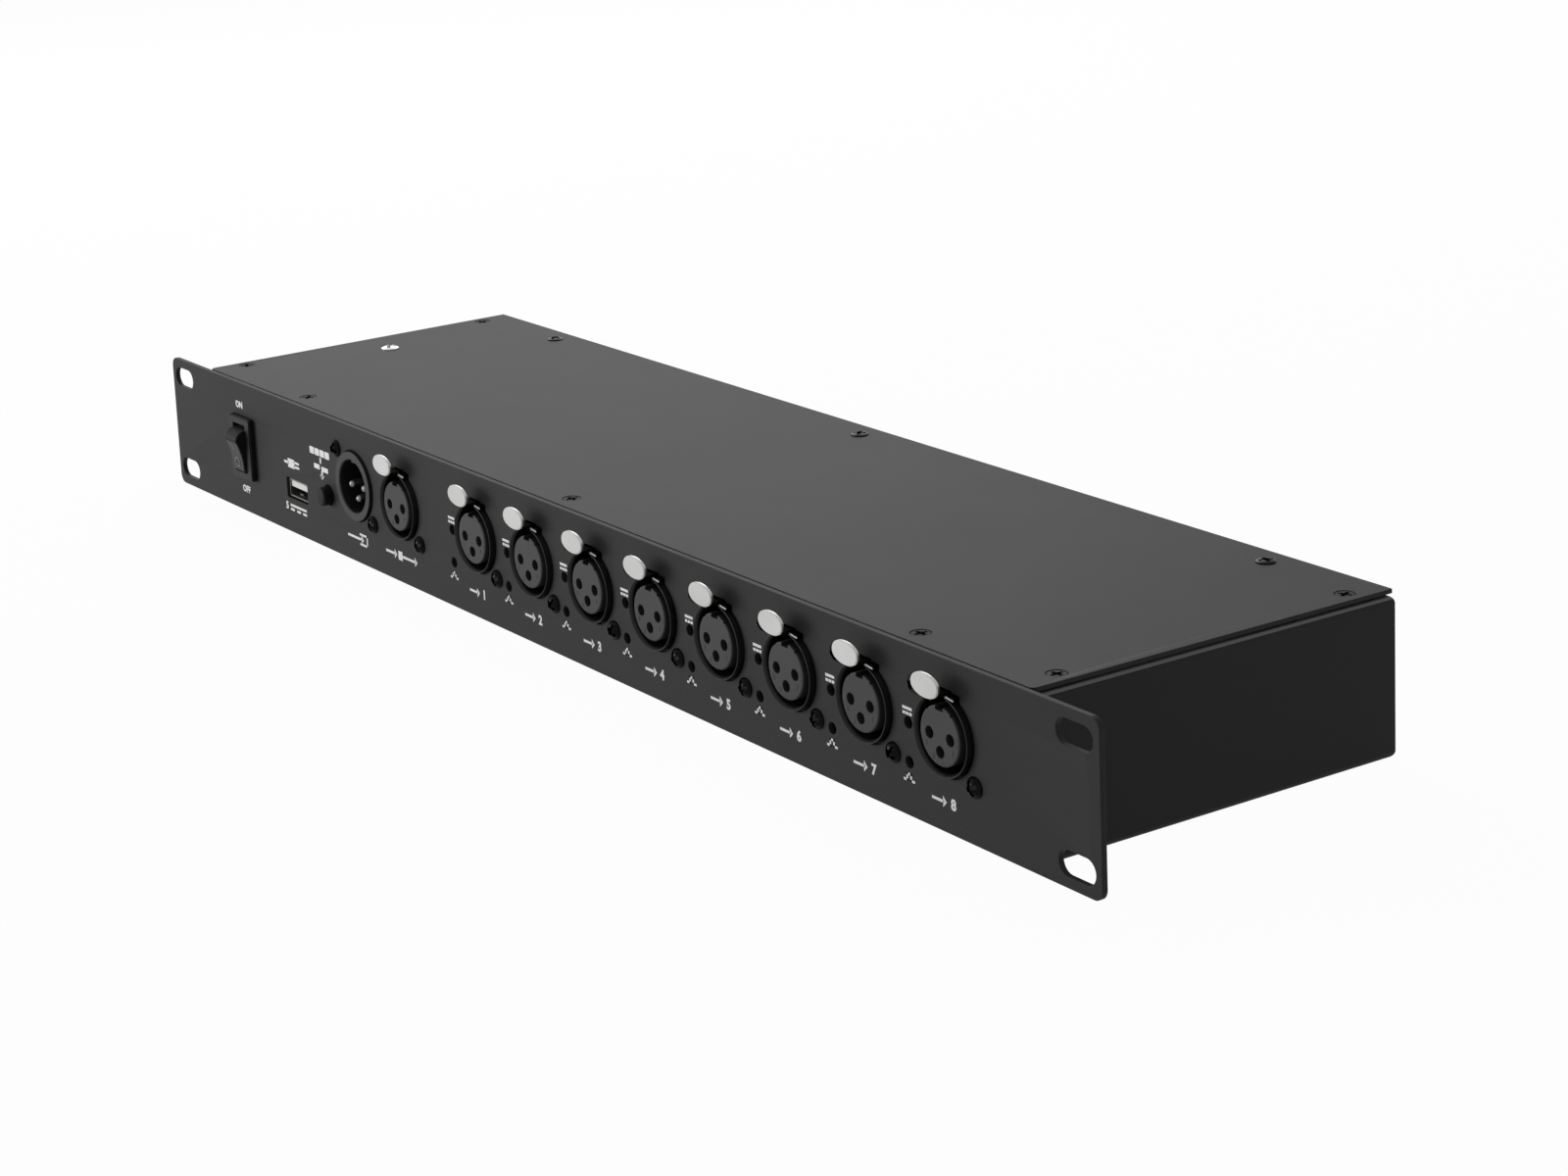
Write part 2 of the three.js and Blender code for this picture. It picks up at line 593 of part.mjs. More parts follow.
// Flat cover with its screw holes
function makeTopCover() {
  const width = CHASSIS_WIDTH - 2 * COVER_SIDE_MARGIN;
  const outline = roundedPlate(0, 0, width, CHASSIS_DEPTH, COVER_CORNER_RADIUS);
  let cover = slabAlongZ(outline, COVER_UNDERSIDE_Z, PANEL_HEIGHT);
  for (const [x, depth] of coverScrewPlaces()) {
    const z0 = COVER_UNDERSIDE_Z - CUT_OVERRUN;
    const z1 = PANEL_HEIGHT + CUT_OVERRUN;
    const y = depthToY(depth);
    cover = cover.subtract(post(x, y, COVER_SCREW_HOLE_RADIUS, z0, z1, SMALL_ROUND_FACETS));
  }
  return cover;
}

// Section of a connector body: a round crown over a flat base
function bodySection() {
  const shape = new THREE.Shape();
  shape.moveTo(-CONNECTOR_BODY_RADIUS, -CONNECTOR_BASE_DROP);
  shape.lineTo(CONNECTOR_BODY_RADIUS, -CONNECTOR_BASE_DROP);
  shape.absarc(0, 0, CONNECTOR_BODY_RADIUS, 0, Math.PI);
  return shape;
}

// Body and flange behind the panel, with the two screw ears on one diagonal
function connectorBody() {
  const flangeBack = CONNECTOR_BACK_DEPTH + CONNECTOR_FLANGE_THICKNESS;
  const geometry = new THREE.ExtrudeGeometry(bodySection(), {
    depth: CONNECTOR_BODY_DEPTH - CONNECTOR_BACK_DEPTH,
    bevelEnabled: false,
    curveSegments: LARGE_ROUND_FACETS / 2,
  });
  geometry.rotateX(Math.PI / 2);
  geometry.translate(0, CONNECTOR_BODY_DEPTH, 0);
  let body = toSolid(geometry);
  for (const side of [-1, 1]) {
    const x = side * CONNECTOR_SCREW_X;
    const z = -side * CONNECTOR_SCREW_Z;
    const ear = rod(x, z, CONNECTOR_EAR_RADIUS, CONNECTOR_BACK_DEPTH, flangeBack, EAR_FACETS);
    body = body.add(ear);
  }
  return body;
}

// Pilot holes for the two flange screws
function earHoles() {
  const y0 = CONNECTOR_BACK_DEPTH - CUT_OVERRUN;
  const y1 = CONNECTOR_BACK_DEPTH + CONNECTOR_FLANGE_THICKNESS + CUT_OVERRUN;
  const radius = CONNECTOR_SCREW_RADIUS - FIT_GAP;
  const place = [CONNECTOR_SCREW_X, -CONNECTOR_SCREW_Z];
  return [-1, 1].map((side) =>
    rod(side * place[0], side * place[1], radius, y0, y1, SMALL_ROUND_FACETS),
  );
}

function makeSocketHousing() {
  const front = -SOCKET_RING_PROUD;
  const flangeBack = CONNECTOR_BACK_DEPTH + CONNECTOR_FLANGE_THICKNESS;
  const ring = rod(0, 0, SOCKET_RING_RADIUS, front, flangeBack, LARGE_ROUND_FACETS);
  const boreFront = front - CUT_OVERRUN;
  const bore = rod(0, 0, SOCKET_BORE_RADIUS, boreFront, SOCKET_BORE_DEPTH, LARGE_ROUND_FACETS);
  const channelHalf = LATCH_STRIP_WIDTH / 2 + FIT_GAP;
  const channelEnd = LATCH_STRIP_END_DEPTH + LATCH_TRAVEL + FIT_GAP;
  const channel = block(
    [-channelHalf, front - CUT_OVERRUN, LATCH_FLOOR_RISE],
    [channelHalf, channelEnd, CONNECTOR_BODY_RADIUS + CUT_OVERRUN],
  );
  return cut(join(connectorBody(), ring), bore, channel, ...earHoles());
}

function makeSocketInsert() {
  const front = -SOCKET_RING_PROUD;
  const back = SOCKET_BORE_DEPTH - FIT_GAP;
  const plug = rod(0, 0, SOCKET_INSERT_RADIUS, front, back, LARGE_ROUND_FACETS);
  const holes = contactPlaces(1).map(([x, z]) =>
    rod(
      x,
      z,
      SOCKET_CONTACT_RADIUS,
      front - CUT_OVERRUN,
      front + SOCKET_CONTACT_DEPTH,
      SMALL_ROUND_FACETS,
    ),
  );
  const keyHalf = SOCKET_KEY_WIDTH / 2;
  const key = block(
    [-keyHalf, front - CUT_OVERRUN, SOCKET_INSERT_RADIUS - SOCKET_KEY_DEPTH],
    [keyHalf, back + CUT_OVERRUN, SOCKET_INSERT_RADIUS + CUT_OVERRUN],
  );
  return cut(plug, key, ...holes);
}

// The three poles, [x, z]: two level with the axis and the third below it
function contactPlaces(firstSide) {
  return [
    [firstSide * CONTACT_CIRCLE_RADIUS, 0],
    [-firstSide * CONTACT_CIRCLE_RADIUS, 0],
    [0, -CONTACT_CIRCLE_RADIUS],
  ];
}

// Outline of the push tab: bowed above and below, with rounded ends
function latchTabShape() {
  const half = LATCH_TAB_WIDTH / 2;
  const rise = LATCH_TAB_HEIGHT / 2;
  const arcCentre = rise - LATCH_TAB_ARC_RADIUS;
  const corner = LATCH_TAB_CORNER_SHARE * LATCH_TAB_HEIGHT;
  const arcEnd = half - corner;
  const angle = Math.asin(arcEnd / LATCH_TAB_ARC_RADIUS);
  const shoulder = arcCentre + LATCH_TAB_ARC_RADIUS * Math.cos(angle);
  const shape = new THREE.Shape();
  const centreZ = LATCH_TAB_RISE;
  shape.moveTo(-arcEnd, centreZ - shoulder);
  shape.absarc(
    0,
    centreZ - arcCentre,
    LATCH_TAB_ARC_RADIUS,
    -Math.PI / 2 - angle,
    -Math.PI / 2 + angle,
  );
  shape.quadraticCurveTo(half, centreZ - shoulder, half, centreZ);
  shape.quadraticCurveTo(half, centreZ + shoulder, arcEnd, centreZ + shoulder);
  shape.absarc(
    0,
    centreZ + arcCentre,
    LATCH_TAB_ARC_RADIUS,
    Math.PI / 2 - angle,
    Math.PI / 2 + angle,
  );
  shape.quadraticCurveTo(-half, centreZ + shoulder, -half, centreZ);
  shape.quadraticCurveTo(-half, centreZ - shoulder, -arcEnd, centreZ - shoulder);
  return shape;
}

function makeLatch() {
  const tabFront = -LATCH_TAB_PROUD;
  const tabBack = tabFront + LATCH_TAB_THICKNESS;
  const floor = LATCH_FLOOR_RISE + FIT_GAP;
  const stripFront = -SOCKET_RING_PROUD;
  const neckHalf = LATCH_NECK_WIDTH / 2;
  const stripHalf = LATCH_STRIP_WIDTH / 2;
  const tab = slabAlongY(latchTabShape(), tabFront, tabBack);
  const neck = block(
    [-neckHalf, tabBack - LATCH_TAB_THICKNESS / 2, floor],
    [neckHalf, LATCH_STRIP_END_DEPTH, floor + LATCH_NECK_THICKNESS],
  );
  const strip = block(
    [-stripHalf, stripFront, floor],
    [stripHalf, LATCH_STRIP_END_DEPTH, floor + LATCH_STRIP_THICKNESS],
  );
  return join(tab, neck, strip);
}

function makePlugHousing() {
  const front = -PLUG_RING_PROUD;
  const flangeBack = CONNECTOR_BACK_DEPTH + CONNECTOR_FLANGE_THICKNESS;
  const ring = rod(0, 0, PLUG_RING_RADIUS, front, flangeBack, LARGE_ROUND_FACETS);
  const bore = rod(
    0,
    0,
    PLUG_BORE_RADIUS,
    front - CUT_OVERRUN,
    CONNECTOR_BODY_DEPTH + CUT_OVERRUN,
    LARGE_ROUND_FACETS,
  );
  const keyHalf = PLUG_KEY_WIDTH / 2;
  const key = block(
    [-keyHalf, 0, PLUG_BORE_RADIUS - PLUG_KEY_HEIGHT],
    [keyHalf, PLUG_BORE_DEPTH - FIT_GAP, PLUG_BORE_RADIUS + PLUG_KEY_HEIGHT / 2],
  );
  return join(cut(join(connectorBody(), ring), bore, ...earHoles()), key);
}

function makePlugInsert() {
  const y0 = PLUG_BORE_DEPTH;
  const y1 = PLUG_BORE_DEPTH + PLUG_INSERT_THICKNESS;
  const disc = rod(0, 0, PLUG_BORE_RADIUS - FIT_GAP, y0, y1, LARGE_ROUND_FACETS);
  const holes = contactPlaces(-1).map(([x, z]) =>
    rod(x, z, PLUG_PIN_RADIUS + FIT_GAP, y0 - CUT_OVERRUN, y1 + CUT_OVERRUN, SMALL_ROUND_FACETS),
  );
  return cut(disc, ...holes);
}

// Contact pin with a rounded tip
function makePlugPin() {
  const tip = PLUG_PIN_TIP_DEPTH;
  const end = PLUG_BORE_DEPTH + PLUG_INSERT_THICKNESS + PLUG_PIN_TAIL;
  const radius = PLUG_PIN_RADIUS;
  const points = [[0, tip]];
  for (let step = 1; step <= CORNER_FACETS; step++) {
    const angle = (step / CORNER_FACETS) * (Math.PI / 2);
    points.push([radius * Math.sin(angle), tip + radius * (1 - Math.cos(angle))]);
  }
  points.push([radius, end], [0, end]);
  return turned(points, SMALL_ROUND_FACETS);
}

// Twin indicator: a block on the board that holds two domed lenses behind the panel's holes
function makeIndicator() {
  const drops = [INDICATOR_UPPER_DROP, INDICATOR_LOWER_DROP];
  const base = -CONNECTOR_BASE_DROP;
  const blockBack = INDICATOR_BLOCK_FRONT_DEPTH + INDICATOR_BLOCK_DEPTH;
  const half = INDICATOR_BLOCK_WIDTH / 2;
  let body = block(
    [-half, INDICATOR_BLOCK_FRONT_DEPTH, base],
    [half, blockBack, INDICATOR_BLOCK_CROWN - INDICATOR_UPPER_DROP],
  );
  const radius = INDICATOR_LENS_RADIUS;
  const dome = [[0, INDICATOR_LENS_FRONT_DEPTH]];
  for (let step = 1; step <= CORNER_FACETS; step++) {
    const angle = (step / CORNER_FACETS) * (Math.PI / 2);
    const y = INDICATOR_LENS_FRONT_DEPTH + radius * (1 - Math.cos(angle));
    dome.push([radius * Math.sin(angle), y]);
  }
  dome.push([radius, blockBack], [0, blockBack]);
  for (const drop of drops) {
    body = body.add(turned(dome, SMALL_ROUND_FACETS).translate([0, 0, -drop]));
  }
  return body;
}

// Rocker switch body with its bezel, bearing sockets and rear lugs
function makeRockerFrame() {
  const bezelShape = roundedPlate(
    0,
    0,
    ROCKER_BEZEL_WIDTH,
    ROCKER_BEZEL_HEIGHT,
    ROCKER_BEZEL_CORNER,
  );
  const bezel = slabAlongY(bezelShape, -ROCKER_BEZEL_PROUD, -FIT_GAP);
  const bodyFront = -ROCKER_BEZEL_PROUD / 2;
  const body = bar(0, 0, ROCKER_BODY_WIDTH, ROCKER_BODY_HEIGHT, bodyFront, ROCKER_BODY_DEPTH);
  const cavity = bar(
    0,
    0,
    ROCKER_CAVITY_WIDTH,
    ROCKER_CAVITY_HEIGHT,
    -ROCKER_BEZEL_PROUD - CUT_OVERRUN,
    ROCKER_CAVITY_DEPTH,
  );
  const socketReach = ROCKER_CAVITY_WIDTH / 2 + ROCKER_AXLE_REACH + FIT_GAP;
  const socket = crossRod(ROCKER_AXLE_RADIUS + FIT_GAP, -socketReach, socketReach);
  let frame = cut(join(bezel, body), cavity, socket.translate([0, ROCKER_PIVOT_DEPTH, 0]));
  for (const step of [-1, 1]) {
    const z = (step * ROCKER_LUG_SPACING) / 2;
    const lug = bar(
      0,
      z,
      ROCKER_LUG_WIDTH,
      ROCKER_LUG_HEIGHT,
      ROCKER_BODY_DEPTH - ROCKER_LUG_WIDTH,
      ROCKER_BODY_DEPTH + ROCKER_LUG_LENGTH,
    );
    frame = frame.add(lug);
  }
  return frame;
}

// Round rod along X, through the origin
function crossRod(radius, x0, x1) {
  const geometry = new THREE.CylinderGeometry(radius, radius, x1 - x0, MEDIUM_ROUND_FACETS);
  geometry.rotateZ(Math.PI / 2);
  geometry.translate((x0 + x1) / 2, 0, 0);
  return toSolid(geometry);
}

// Rocker about its own pivot, level: a dished face between two ends that are arcs round the
// pivot, so that they sweep past the bezel, and a foot. The ends stop where full tilt still
// clears the cavity.
function makeRocker() {
  const sweep = ROCKER_CAVITY_HEIGHT / 2 + ROCKER_SWEEP_ALLOWANCE;
  const tilt = THREE.MathUtils.degToRad(ROCKER_TILT_DEGREES);
  const endAngle = Math.asin((ROCKER_CAVITY_HEIGHT / 2 - FIT_GAP) / sweep) - tilt;
  const tipAngle = Math.asin(ROCKER_FACE_SHARE);
  const tip = [-sweep * Math.cos(tipAngle), sweep * Math.sin(tipAngle)];
  const half = sweep * Math.sin(endAngle);
  const shoulder = ROCKER_SHOULDER_DEPTH - ROCKER_PIVOT_DEPTH;
  const foot = ROCKER_FOOT_DEPTH - ROCKER_PIVOT_DEPTH;
  const shape = new THREE.Shape();
  shape.moveTo(tip[0], -tip[1]);
  shape.quadraticCurveTo(tip[0] + 2 * ROCKER_DISH, 0, tip[0], tip[1]);
  shape.absarc(0, 0, sweep, Math.PI - tipAngle, Math.PI - endAngle, true);
  shape.lineTo(shoulder, half);
  shape.lineTo(foot, ROCKER_FOOT_HALF_LENGTH);
  shape.lineTo(foot, -ROCKER_FOOT_HALF_LENGTH);
  shape.lineTo(shoulder, -half);
  shape.absarc(0, 0, sweep, Math.PI + endAngle, Math.PI + tipAngle, true);
  const reach = ROCKER_CAVITY_WIDTH / 2 - FIT_GAP;
  const axleReach = ROCKER_CAVITY_WIDTH / 2 + ROCKER_AXLE_REACH;
  const paddle = slabAlongX(shape, -reach, reach);
  return paddle.add(crossRod(ROCKER_AXLE_RADIUS, -axleReach, axleReach));
}

function makeButtonBody() {
  const y0 = BUTTON_SHOULDER_DEPTH + BUTTON_TRAVEL + FIT_GAP;
  const y1 = y0 + BUTTON_BODY_LENGTH;
  const base = BOARD_TOP_Z + FIT_GAP - BUTTON_Z;
  const half = BUTTON_BODY_WIDTH / 2;
  const body = block([-half, y0, base], [half, y1, -base]);
  const stemEnd = BUTTON_SHOULDER_DEPTH + BUTTON_STEM_LENGTH + BUTTON_TRAVEL + FIT_GAP;
  const bore = rod(
    0,
    0,
    BUTTON_STEM_RADIUS + FIT_GAP,
    y0 - CUT_OVERRUN,
    stemEnd,
    MEDIUM_ROUND_FACETS,
  );
  return body.subtract(bore);
}

function makeButtonCap() {
  const front = -BUTTON_PROUD;
  const bevel = BUTTON_EDGE_BEVEL;
  return turned(
    [
      [0, front],
      [BUTTON_RADIUS - bevel, front],
      [BUTTON_RADIUS, front + bevel],
      [BUTTON_RADIUS, BUTTON_SHOULDER_DEPTH],
      [BUTTON_STEM_RADIUS, BUTTON_SHOULDER_DEPTH],
      [BUTTON_STEM_RADIUS, BUTTON_SHOULDER_DEPTH + BUTTON_STEM_LENGTH],
      [0, BUTTON_SHOULDER_DEPTH + BUTTON_STEM_LENGTH],
    ],
    MEDIUM_ROUND_FACETS,
  );
}

function makeUsbShell() {
  const y0 = USB_SHELL_RECESS;
  const y1 = USB_SHELL_RECESS + USB_SHELL_LENGTH;
  const outer = roundedPlate(0, 0, USB_SHELL_WIDTH, USB_SHELL_HEIGHT, USB_SHELL_CORNER);
  const inner = roundedPlate(
    0,
    0,
    USB_SHELL_WIDTH - 2 * USB_SHELL_WALL,
    USB_SHELL_HEIGHT - 2 * USB_SHELL_WALL,
    USB_SHELL_CORNER - USB_SHELL_WALL,
  );
  const hollow = slabAlongY(inner, y0 - CUT_OVERRUN, y1 + CUT_OVERRUN);
  return slabAlongY(outer, y0, y1).subtract(hollow);
}

// Insulator that fills the back of the shell and carries the contact tongue
function makeUsbTongue() {
  const innerWidth = USB_SHELL_WIDTH - 2 * USB_SHELL_WALL - 2 * FIT_GAP;
  const innerHeight = USB_SHELL_HEIGHT - 2 * USB_SHELL_WALL - 2 * FIT_GAP;
  const y1 = USB_SHELL_RECESS + USB_SHELL_LENGTH;
  const core = bar(0, 0, innerWidth, innerHeight, y1 - USB_CORE_LENGTH, y1);
  const tongueTop = innerHeight / 2 - FIT_GAP;
  const tongue = block(
    [-USB_TONGUE_WIDTH / 2, USB_TONGUE_RECESS, tongueTop - USB_TONGUE_THICKNESS],
    [USB_TONGUE_WIDTH / 2, y1 - USB_CORE_LENGTH / 2, tongueTop],
  );
  return core.add(tongue);
}

// Rear pieces use a group whose origin is on the rear wall, Y pointing out of the box
function inletCavityShape() {
  const half = INLET_CAVITY_WIDTH / 2;
  const low = INLET_CAVITY_RISE - INLET_CAVITY_HEIGHT / 2;
  const high = INLET_CAVITY_RISE + INLET_CAVITY_HEIGHT / 2;
  const chamfer = INLET_CAVITY_CHAMFER;
  const shape = new THREE.Shape();
  shape.moveTo(-half, low);
  shape.lineTo(half, low);
  shape.lineTo(half, high - chamfer);
  shape.lineTo(half - chamfer, high);
  shape.lineTo(-half + chamfer, high);
  shape.lineTo(-half, high - chamfer);
  return shape;
}

function makeInletBody() {
  const front = FIT_GAP + INLET_FLANGE_THICKNESS;
  const flangeShape = roundedPlate(
    0,
    0,
    INLET_FLANGE_WIDTH,
    INLET_FLANGE_HEIGHT,
    INLET_FLANGE_CORNER,
  );
  const flange = slabAlongY(flangeShape, FIT_GAP, front);
  const bodyEnd = (FIT_GAP + front) / 2;
  const body = bar(0, 0, INLET_BODY_WIDTH, INLET_BODY_HEIGHT, -INLET_BODY_DEPTH, bodyEnd);
  const cavity = slabAlongY(inletCavityShape(), front - INLET_CAVITY_DEPTH, front + CUT_OVERRUN);
  const drawerWell = bar(
    0,
    -DRAWER_DROP,
    DRAWER_WIDTH + 2 * FIT_GAP,
    DRAWER_HEIGHT + 2 * FIT_GAP,
    front - DRAWER_LENGTH - FIT_GAP,
    front + CUT_OVERRUN,
  );
  const slots = inletPinPlaces().map(([x, z]) =>
    bar(
      x,
      z,
      INLET_PIN_WIDTH + 2 * FIT_GAP,
      INLET_PIN_HEIGHT + 2 * FIT_GAP,
      -INLET_BODY_DEPTH - CUT_OVERRUN,
      front,
    ),
  );
  return cut(join(flange, body), cavity, drawerWell, ...slots);
}

// Earth, line and neutral blades, [x, z] in the inlet's group
function inletPinPlaces() {
  const lineZ = INLET_CAVITY_RISE - INLET_LINE_DROP;
  return [
    [0, INLET_CAVITY_RISE + INLET_EARTH_RISE],
    [INLET_PIN_SPACING / 2, lineZ],
    [-INLET_PIN_SPACING / 2, lineZ],
  ];
}

function makeInletPin() {
  const tip = FIT_GAP + INLET_FLANGE_THICKNESS - INLET_PIN_RECESS;
  const tail = -INLET_BODY_DEPTH - INLET_TAIL_LENGTH;
  const half = INLET_PIN_WIDTH / 2;
  const shape = new THREE.Shape();
  shape.moveTo(-half, tail);
  shape.lineTo(half, tail);
  shape.lineTo(half, tip - half);
  shape.lineTo(half / 2, tip);
  shape.lineTo(-half / 2, tip);
  shape.lineTo(-half, tip - half);
  return slabAlongZ(shape, -INLET_PIN_HEIGHT / 2, INLET_PIN_HEIGHT / 2);
}

// Fuse drawer: a trough open to the top behind a face with a grip notch
function makeFuseDrawer() {
  const front = FIT_GAP + INLET_FLANGE_THICKNESS + DRAWER_FACE_PROUD;
  const back = FIT_GAP + INLET_FLANGE_THICKNESS - DRAWER_LENGTH;
  const faceBack = front - DRAWER_FACE_THICKNESS;
  const body = bar(0, 0, DRAWER_WIDTH, DRAWER_HEIGHT, back, front);
  const troughRadius = FUSE_RADIUS + FIT_GAP;
  const trough = block(
    [-FUSE_LENGTH / 2 - FIT_GAP, back + DRAWER_TROUGH_WALL, -troughRadius],
    [FUSE_LENGTH / 2 + FIT_GAP, faceBack, DRAWER_HEIGHT],
  );
  const grip = bar(
    0,
    DRAWER_HEIGHT / 2,
    DRAWER_GRIP_WIDTH,
    DRAWER_HEIGHT / 2,
    front - DRAWER_GRIP_DEPTH,
    front + CUT_OVERRUN,
  );
  return cut(body, trough, grip);
}

// Glass fuse lying across the drawer
function makeFuse() {
  const half = FUSE_LENGTH / 2;
  const capEnd = half - FUSE_CAP_LENGTH;
  const waist = FUSE_RADIUS - FUSE_WAIST;
  const profile = [
    [0, -half],
    [FUSE_RADIUS, -half],
    [FUSE_RADIUS, -capEnd],
    [waist, -capEnd],
    [waist, capEnd],
    [FUSE_RADIUS, capEnd],
    [FUSE_RADIUS, half],
    [0, half],
  ];
  return turned(profile, MEDIUM_ROUND_FACETS);
}

// Main board: laminate, and per output a line driver and an isolating converter
function makeMainBoard() {
  let board = spacedBoard(
    MAIN_BOARD_LEFT_X,
    MAIN_BOARD_RIGHT_X,
    MAIN_BOARD_FRONT_DEPTH,
    MAIN_BOARD_REAR_DEPTH,
    MAIN_BOARD_SPACER_COLUMNS,
  );
  const base = (BOARD_UNDERSIDE_Z + BOARD_TOP_Z) / 2;
  for (const index of outputs) {
    const x = outputX(index);
    const driverY = depthToY(DRIVER_DEPTH);
    const converterY = depthToY(CONVERTER_DEPTH);
    const driver = block(
      [x - DRIVER_WIDTH / 2, driverY - DRIVER_LENGTH / 2, base],
      [x + DRIVER_WIDTH / 2, driverY + DRIVER_LENGTH / 2, BOARD_TOP_Z + DRIVER_HEIGHT],
    );
    const converter = block(
      [x - CONVERTER_WIDTH / 2, converterY - CONVERTER_LENGTH / 2, base],
      [x + CONVERTER_WIDTH / 2, converterY + CONVERTER_LENGTH / 2, BOARD_TOP_Z + CONVERTER_HEIGHT],
    );
    board = join(board, driver, converter);
  }
  return board;
}

const supplySpan = SUPPLY_BOARD_RIGHT_X - SUPPLY_BOARD_LEFT_X;
const supplyMiddleY = depthToY((SUPPLY_BOARD_FRONT_DEPTH + SUPPLY_BOARD_REAR_DEPTH) / 2);

function makeSupplyBoard() {
  return spacedBoard(
    SUPPLY_BOARD_LEFT_X,
    SUPPLY_BOARD_RIGHT_X,
    SUPPLY_BOARD_FRONT_DEPTH,
    SUPPLY_BOARD_REAR_DEPTH,
    SUPPLY_BOARD_SPACER_COLUMNS,
  );
}

// Transformer: a wound bobbin inside a squared core
function makeTransformer() {
  const halfWidth = TRANSFORMER_WIDTH / 2;
  const halfLength = TRANSFORMER_LENGTH / 2;
  const bobbin = block(
    [-halfWidth + TRANSFORMER_BOBBIN_INSET, -halfLength, 0],
    [
      halfWidth - TRANSFORMER_BOBBIN_INSET,
      halfLength,
      TRANSFORMER_HEIGHT - TRANSFORMER_BOBBIN_INSET,
    ],
  );
  const core = block(
    [-halfWidth, -TRANSFORMER_CORE_WIDTH / 2, TRANSFORMER_BOBBIN_INSET / 2],
    [halfWidth, TRANSFORMER_CORE_WIDTH / 2, TRANSFORMER_HEIGHT],
  );
  return bobbin.add(core);
}

function makeCapacitor() {
  const top = CAPACITOR_HEIGHT;
  const bevel = CAPACITOR_BEVEL;
  const can = turned(
    [
      [0, 0],
      [CAPACITOR_RADIUS, 0],
      [CAPACITOR_RADIUS, top - bevel],
      [CAPACITOR_RADIUS - bevel, top],
      [0, top],
    ],
    MEDIUM_ROUND_FACETS,
  );
  return can;
}

addMesh(splitter, "front_panel", makeFrontPanel(), paintedSteel);
addMesh(splitter, "chassis_tray", makeChassisTray(), paintedSteel);
addMesh(splitter, "top_cover", makeTopCover(), paintedSteel);

// Female connectors: the through connector and the outputs
const socketHousing = makeSocketHousing();
const socketInsert = makeSocketInsert();
const latch = makeLatch();
const sockets = [["thru", THROUGH_X]];
for (const index of outputs) sockets.push([`out_${index + 1}`, outputX(index)]);
for (const [label, x] of sockets) {
  const group = panelGroup(x, CONNECTOR_Z);
  addMesh(group, `${label}_socket_housing`, socketHousing, blackPlastic);
  addMesh(group, `${label}_socket_insert`, socketInsert, greyPlastic);
  addMesh(group, `${label}_latch`, latch, platedMetal);
}

// Indicators, one twin block per output
const indicator = makeIndicator();
for (const index of outputs) {
  const group = panelGroup(outputX(index) + INDICATOR_OFFSET_X, CONNECTOR_Z);
  addMesh(group, `out_${index + 1}_indicator`, indicator, blackPlastic);
}

// Male input connector
const inputGroup = panelGroup(INPUT_X, CONNECTOR_Z);
addMesh(inputGroup, "in_plug_housing", makePlugHousing(), blackPlastic);
addMesh(inputGroup, "in_plug_insert", makePlugInsert(), blackPlastic);
contactPlaces(-1).forEach(([x, z], index) => {
  const pin = addMesh(inputGroup, `in_plug_pin_${index + 1}`, makePlugPin(), goldPlated);
  pin.position.set(x, 0, z);
});

// Mains rocker, shown with its lower end pressed in
const rockerGroup = panelGroup(ROCKER_X, ROCKER_Z);
addMesh(rockerGroup, "rocker_frame", makeRockerFrame(), blackPlastic);
const rocker = addMesh(rockerGroup, "rocker", makeRocker(), blackPlastic);
rocker.position.set(0, ROCKER_PIVOT_DEPTH, 0);
rocker.rotation.x = THREE.MathUtils.degToRad(ROCKER_TILT_DEGREES);

const buttonGroup = panelGroup(BUTTON_X, BUTTON_Z);
addMesh(buttonGroup, "button_body", makeButtonBody(), blackPlastic);
addMesh(buttonGroup, "button_cap", makeButtonCap(), blackPlastic);

const usbGroup = panelGroup(USB_X, USB_Z);
addMesh(usbGroup, "usb_shell", makeUsbShell(), platedMetal);
addMesh(usbGroup, "usb_tongue", makeUsbTongue(), whitePlastic);

// Mains inlet in the rear wall
const inletGroup = new THREE.Group();
inletGroup.position.set(INLET_X, CHASSIS_REAR_Y, INLET_Z);
splitter.add(inletGroup);
addMesh(inletGroup, "inlet_body", makeInletBody(), blackPlastic);
const pinNames = ["inlet_pin_earth", "inlet_pin_line", "inlet_pin_neutral"];
inletPinPlaces().forEach(([x, z], index) => {
  addMesh(inletGroup, pinNames[index], makeInletPin(), platedMetal).position.set(x, 0, z);
});
const drawerGroup = new THREE.Group();
drawerGroup.position.set(0, 0, -DRAWER_DROP);
inletGroup.add(drawerGroup);
addMesh(drawerGroup, "fuse_drawer", makeFuseDrawer(), blackPlastic);
const fuse = addMesh(drawerGroup, "fuse", makeFuse(), glassTube);
fuse.position.y = FIT_GAP + INLET_FLANGE_THICKNESS - DRAWER_LENGTH / 2;
fuse.rotation.z = Math.PI / 2;

// Boards and the mains supply parts
addMesh(splitter, "main_board", makeMainBoard(), boardLaminate);
addMesh(splitter, "supply_board", makeSupplyBoard(), boardLaminate);
const transformer = addMesh(splitter, "supply_transformer", makeTransformer(), blackPlastic);
transformer.position.set(
  SUPPLY_BOARD_LEFT_X + TRANSFORMER_SHARE * supplySpan,
  supplyMiddleY,
  BOARD_TOP_Z + FIT_GAP,
);
const capacitor = addMesh(splitter, "supply_capacitor", makeCapacitor(), blackPlastic);
capacitor.rotation.x = Math.PI / 2;
capacitor.position.set(
  SUPPLY_BOARD_LEFT_X + CAPACITOR_SHARE * supplySpan,
  supplyMiddleY,
  BOARD_TOP_Z + FIT_GAP,
);

export default splitter;
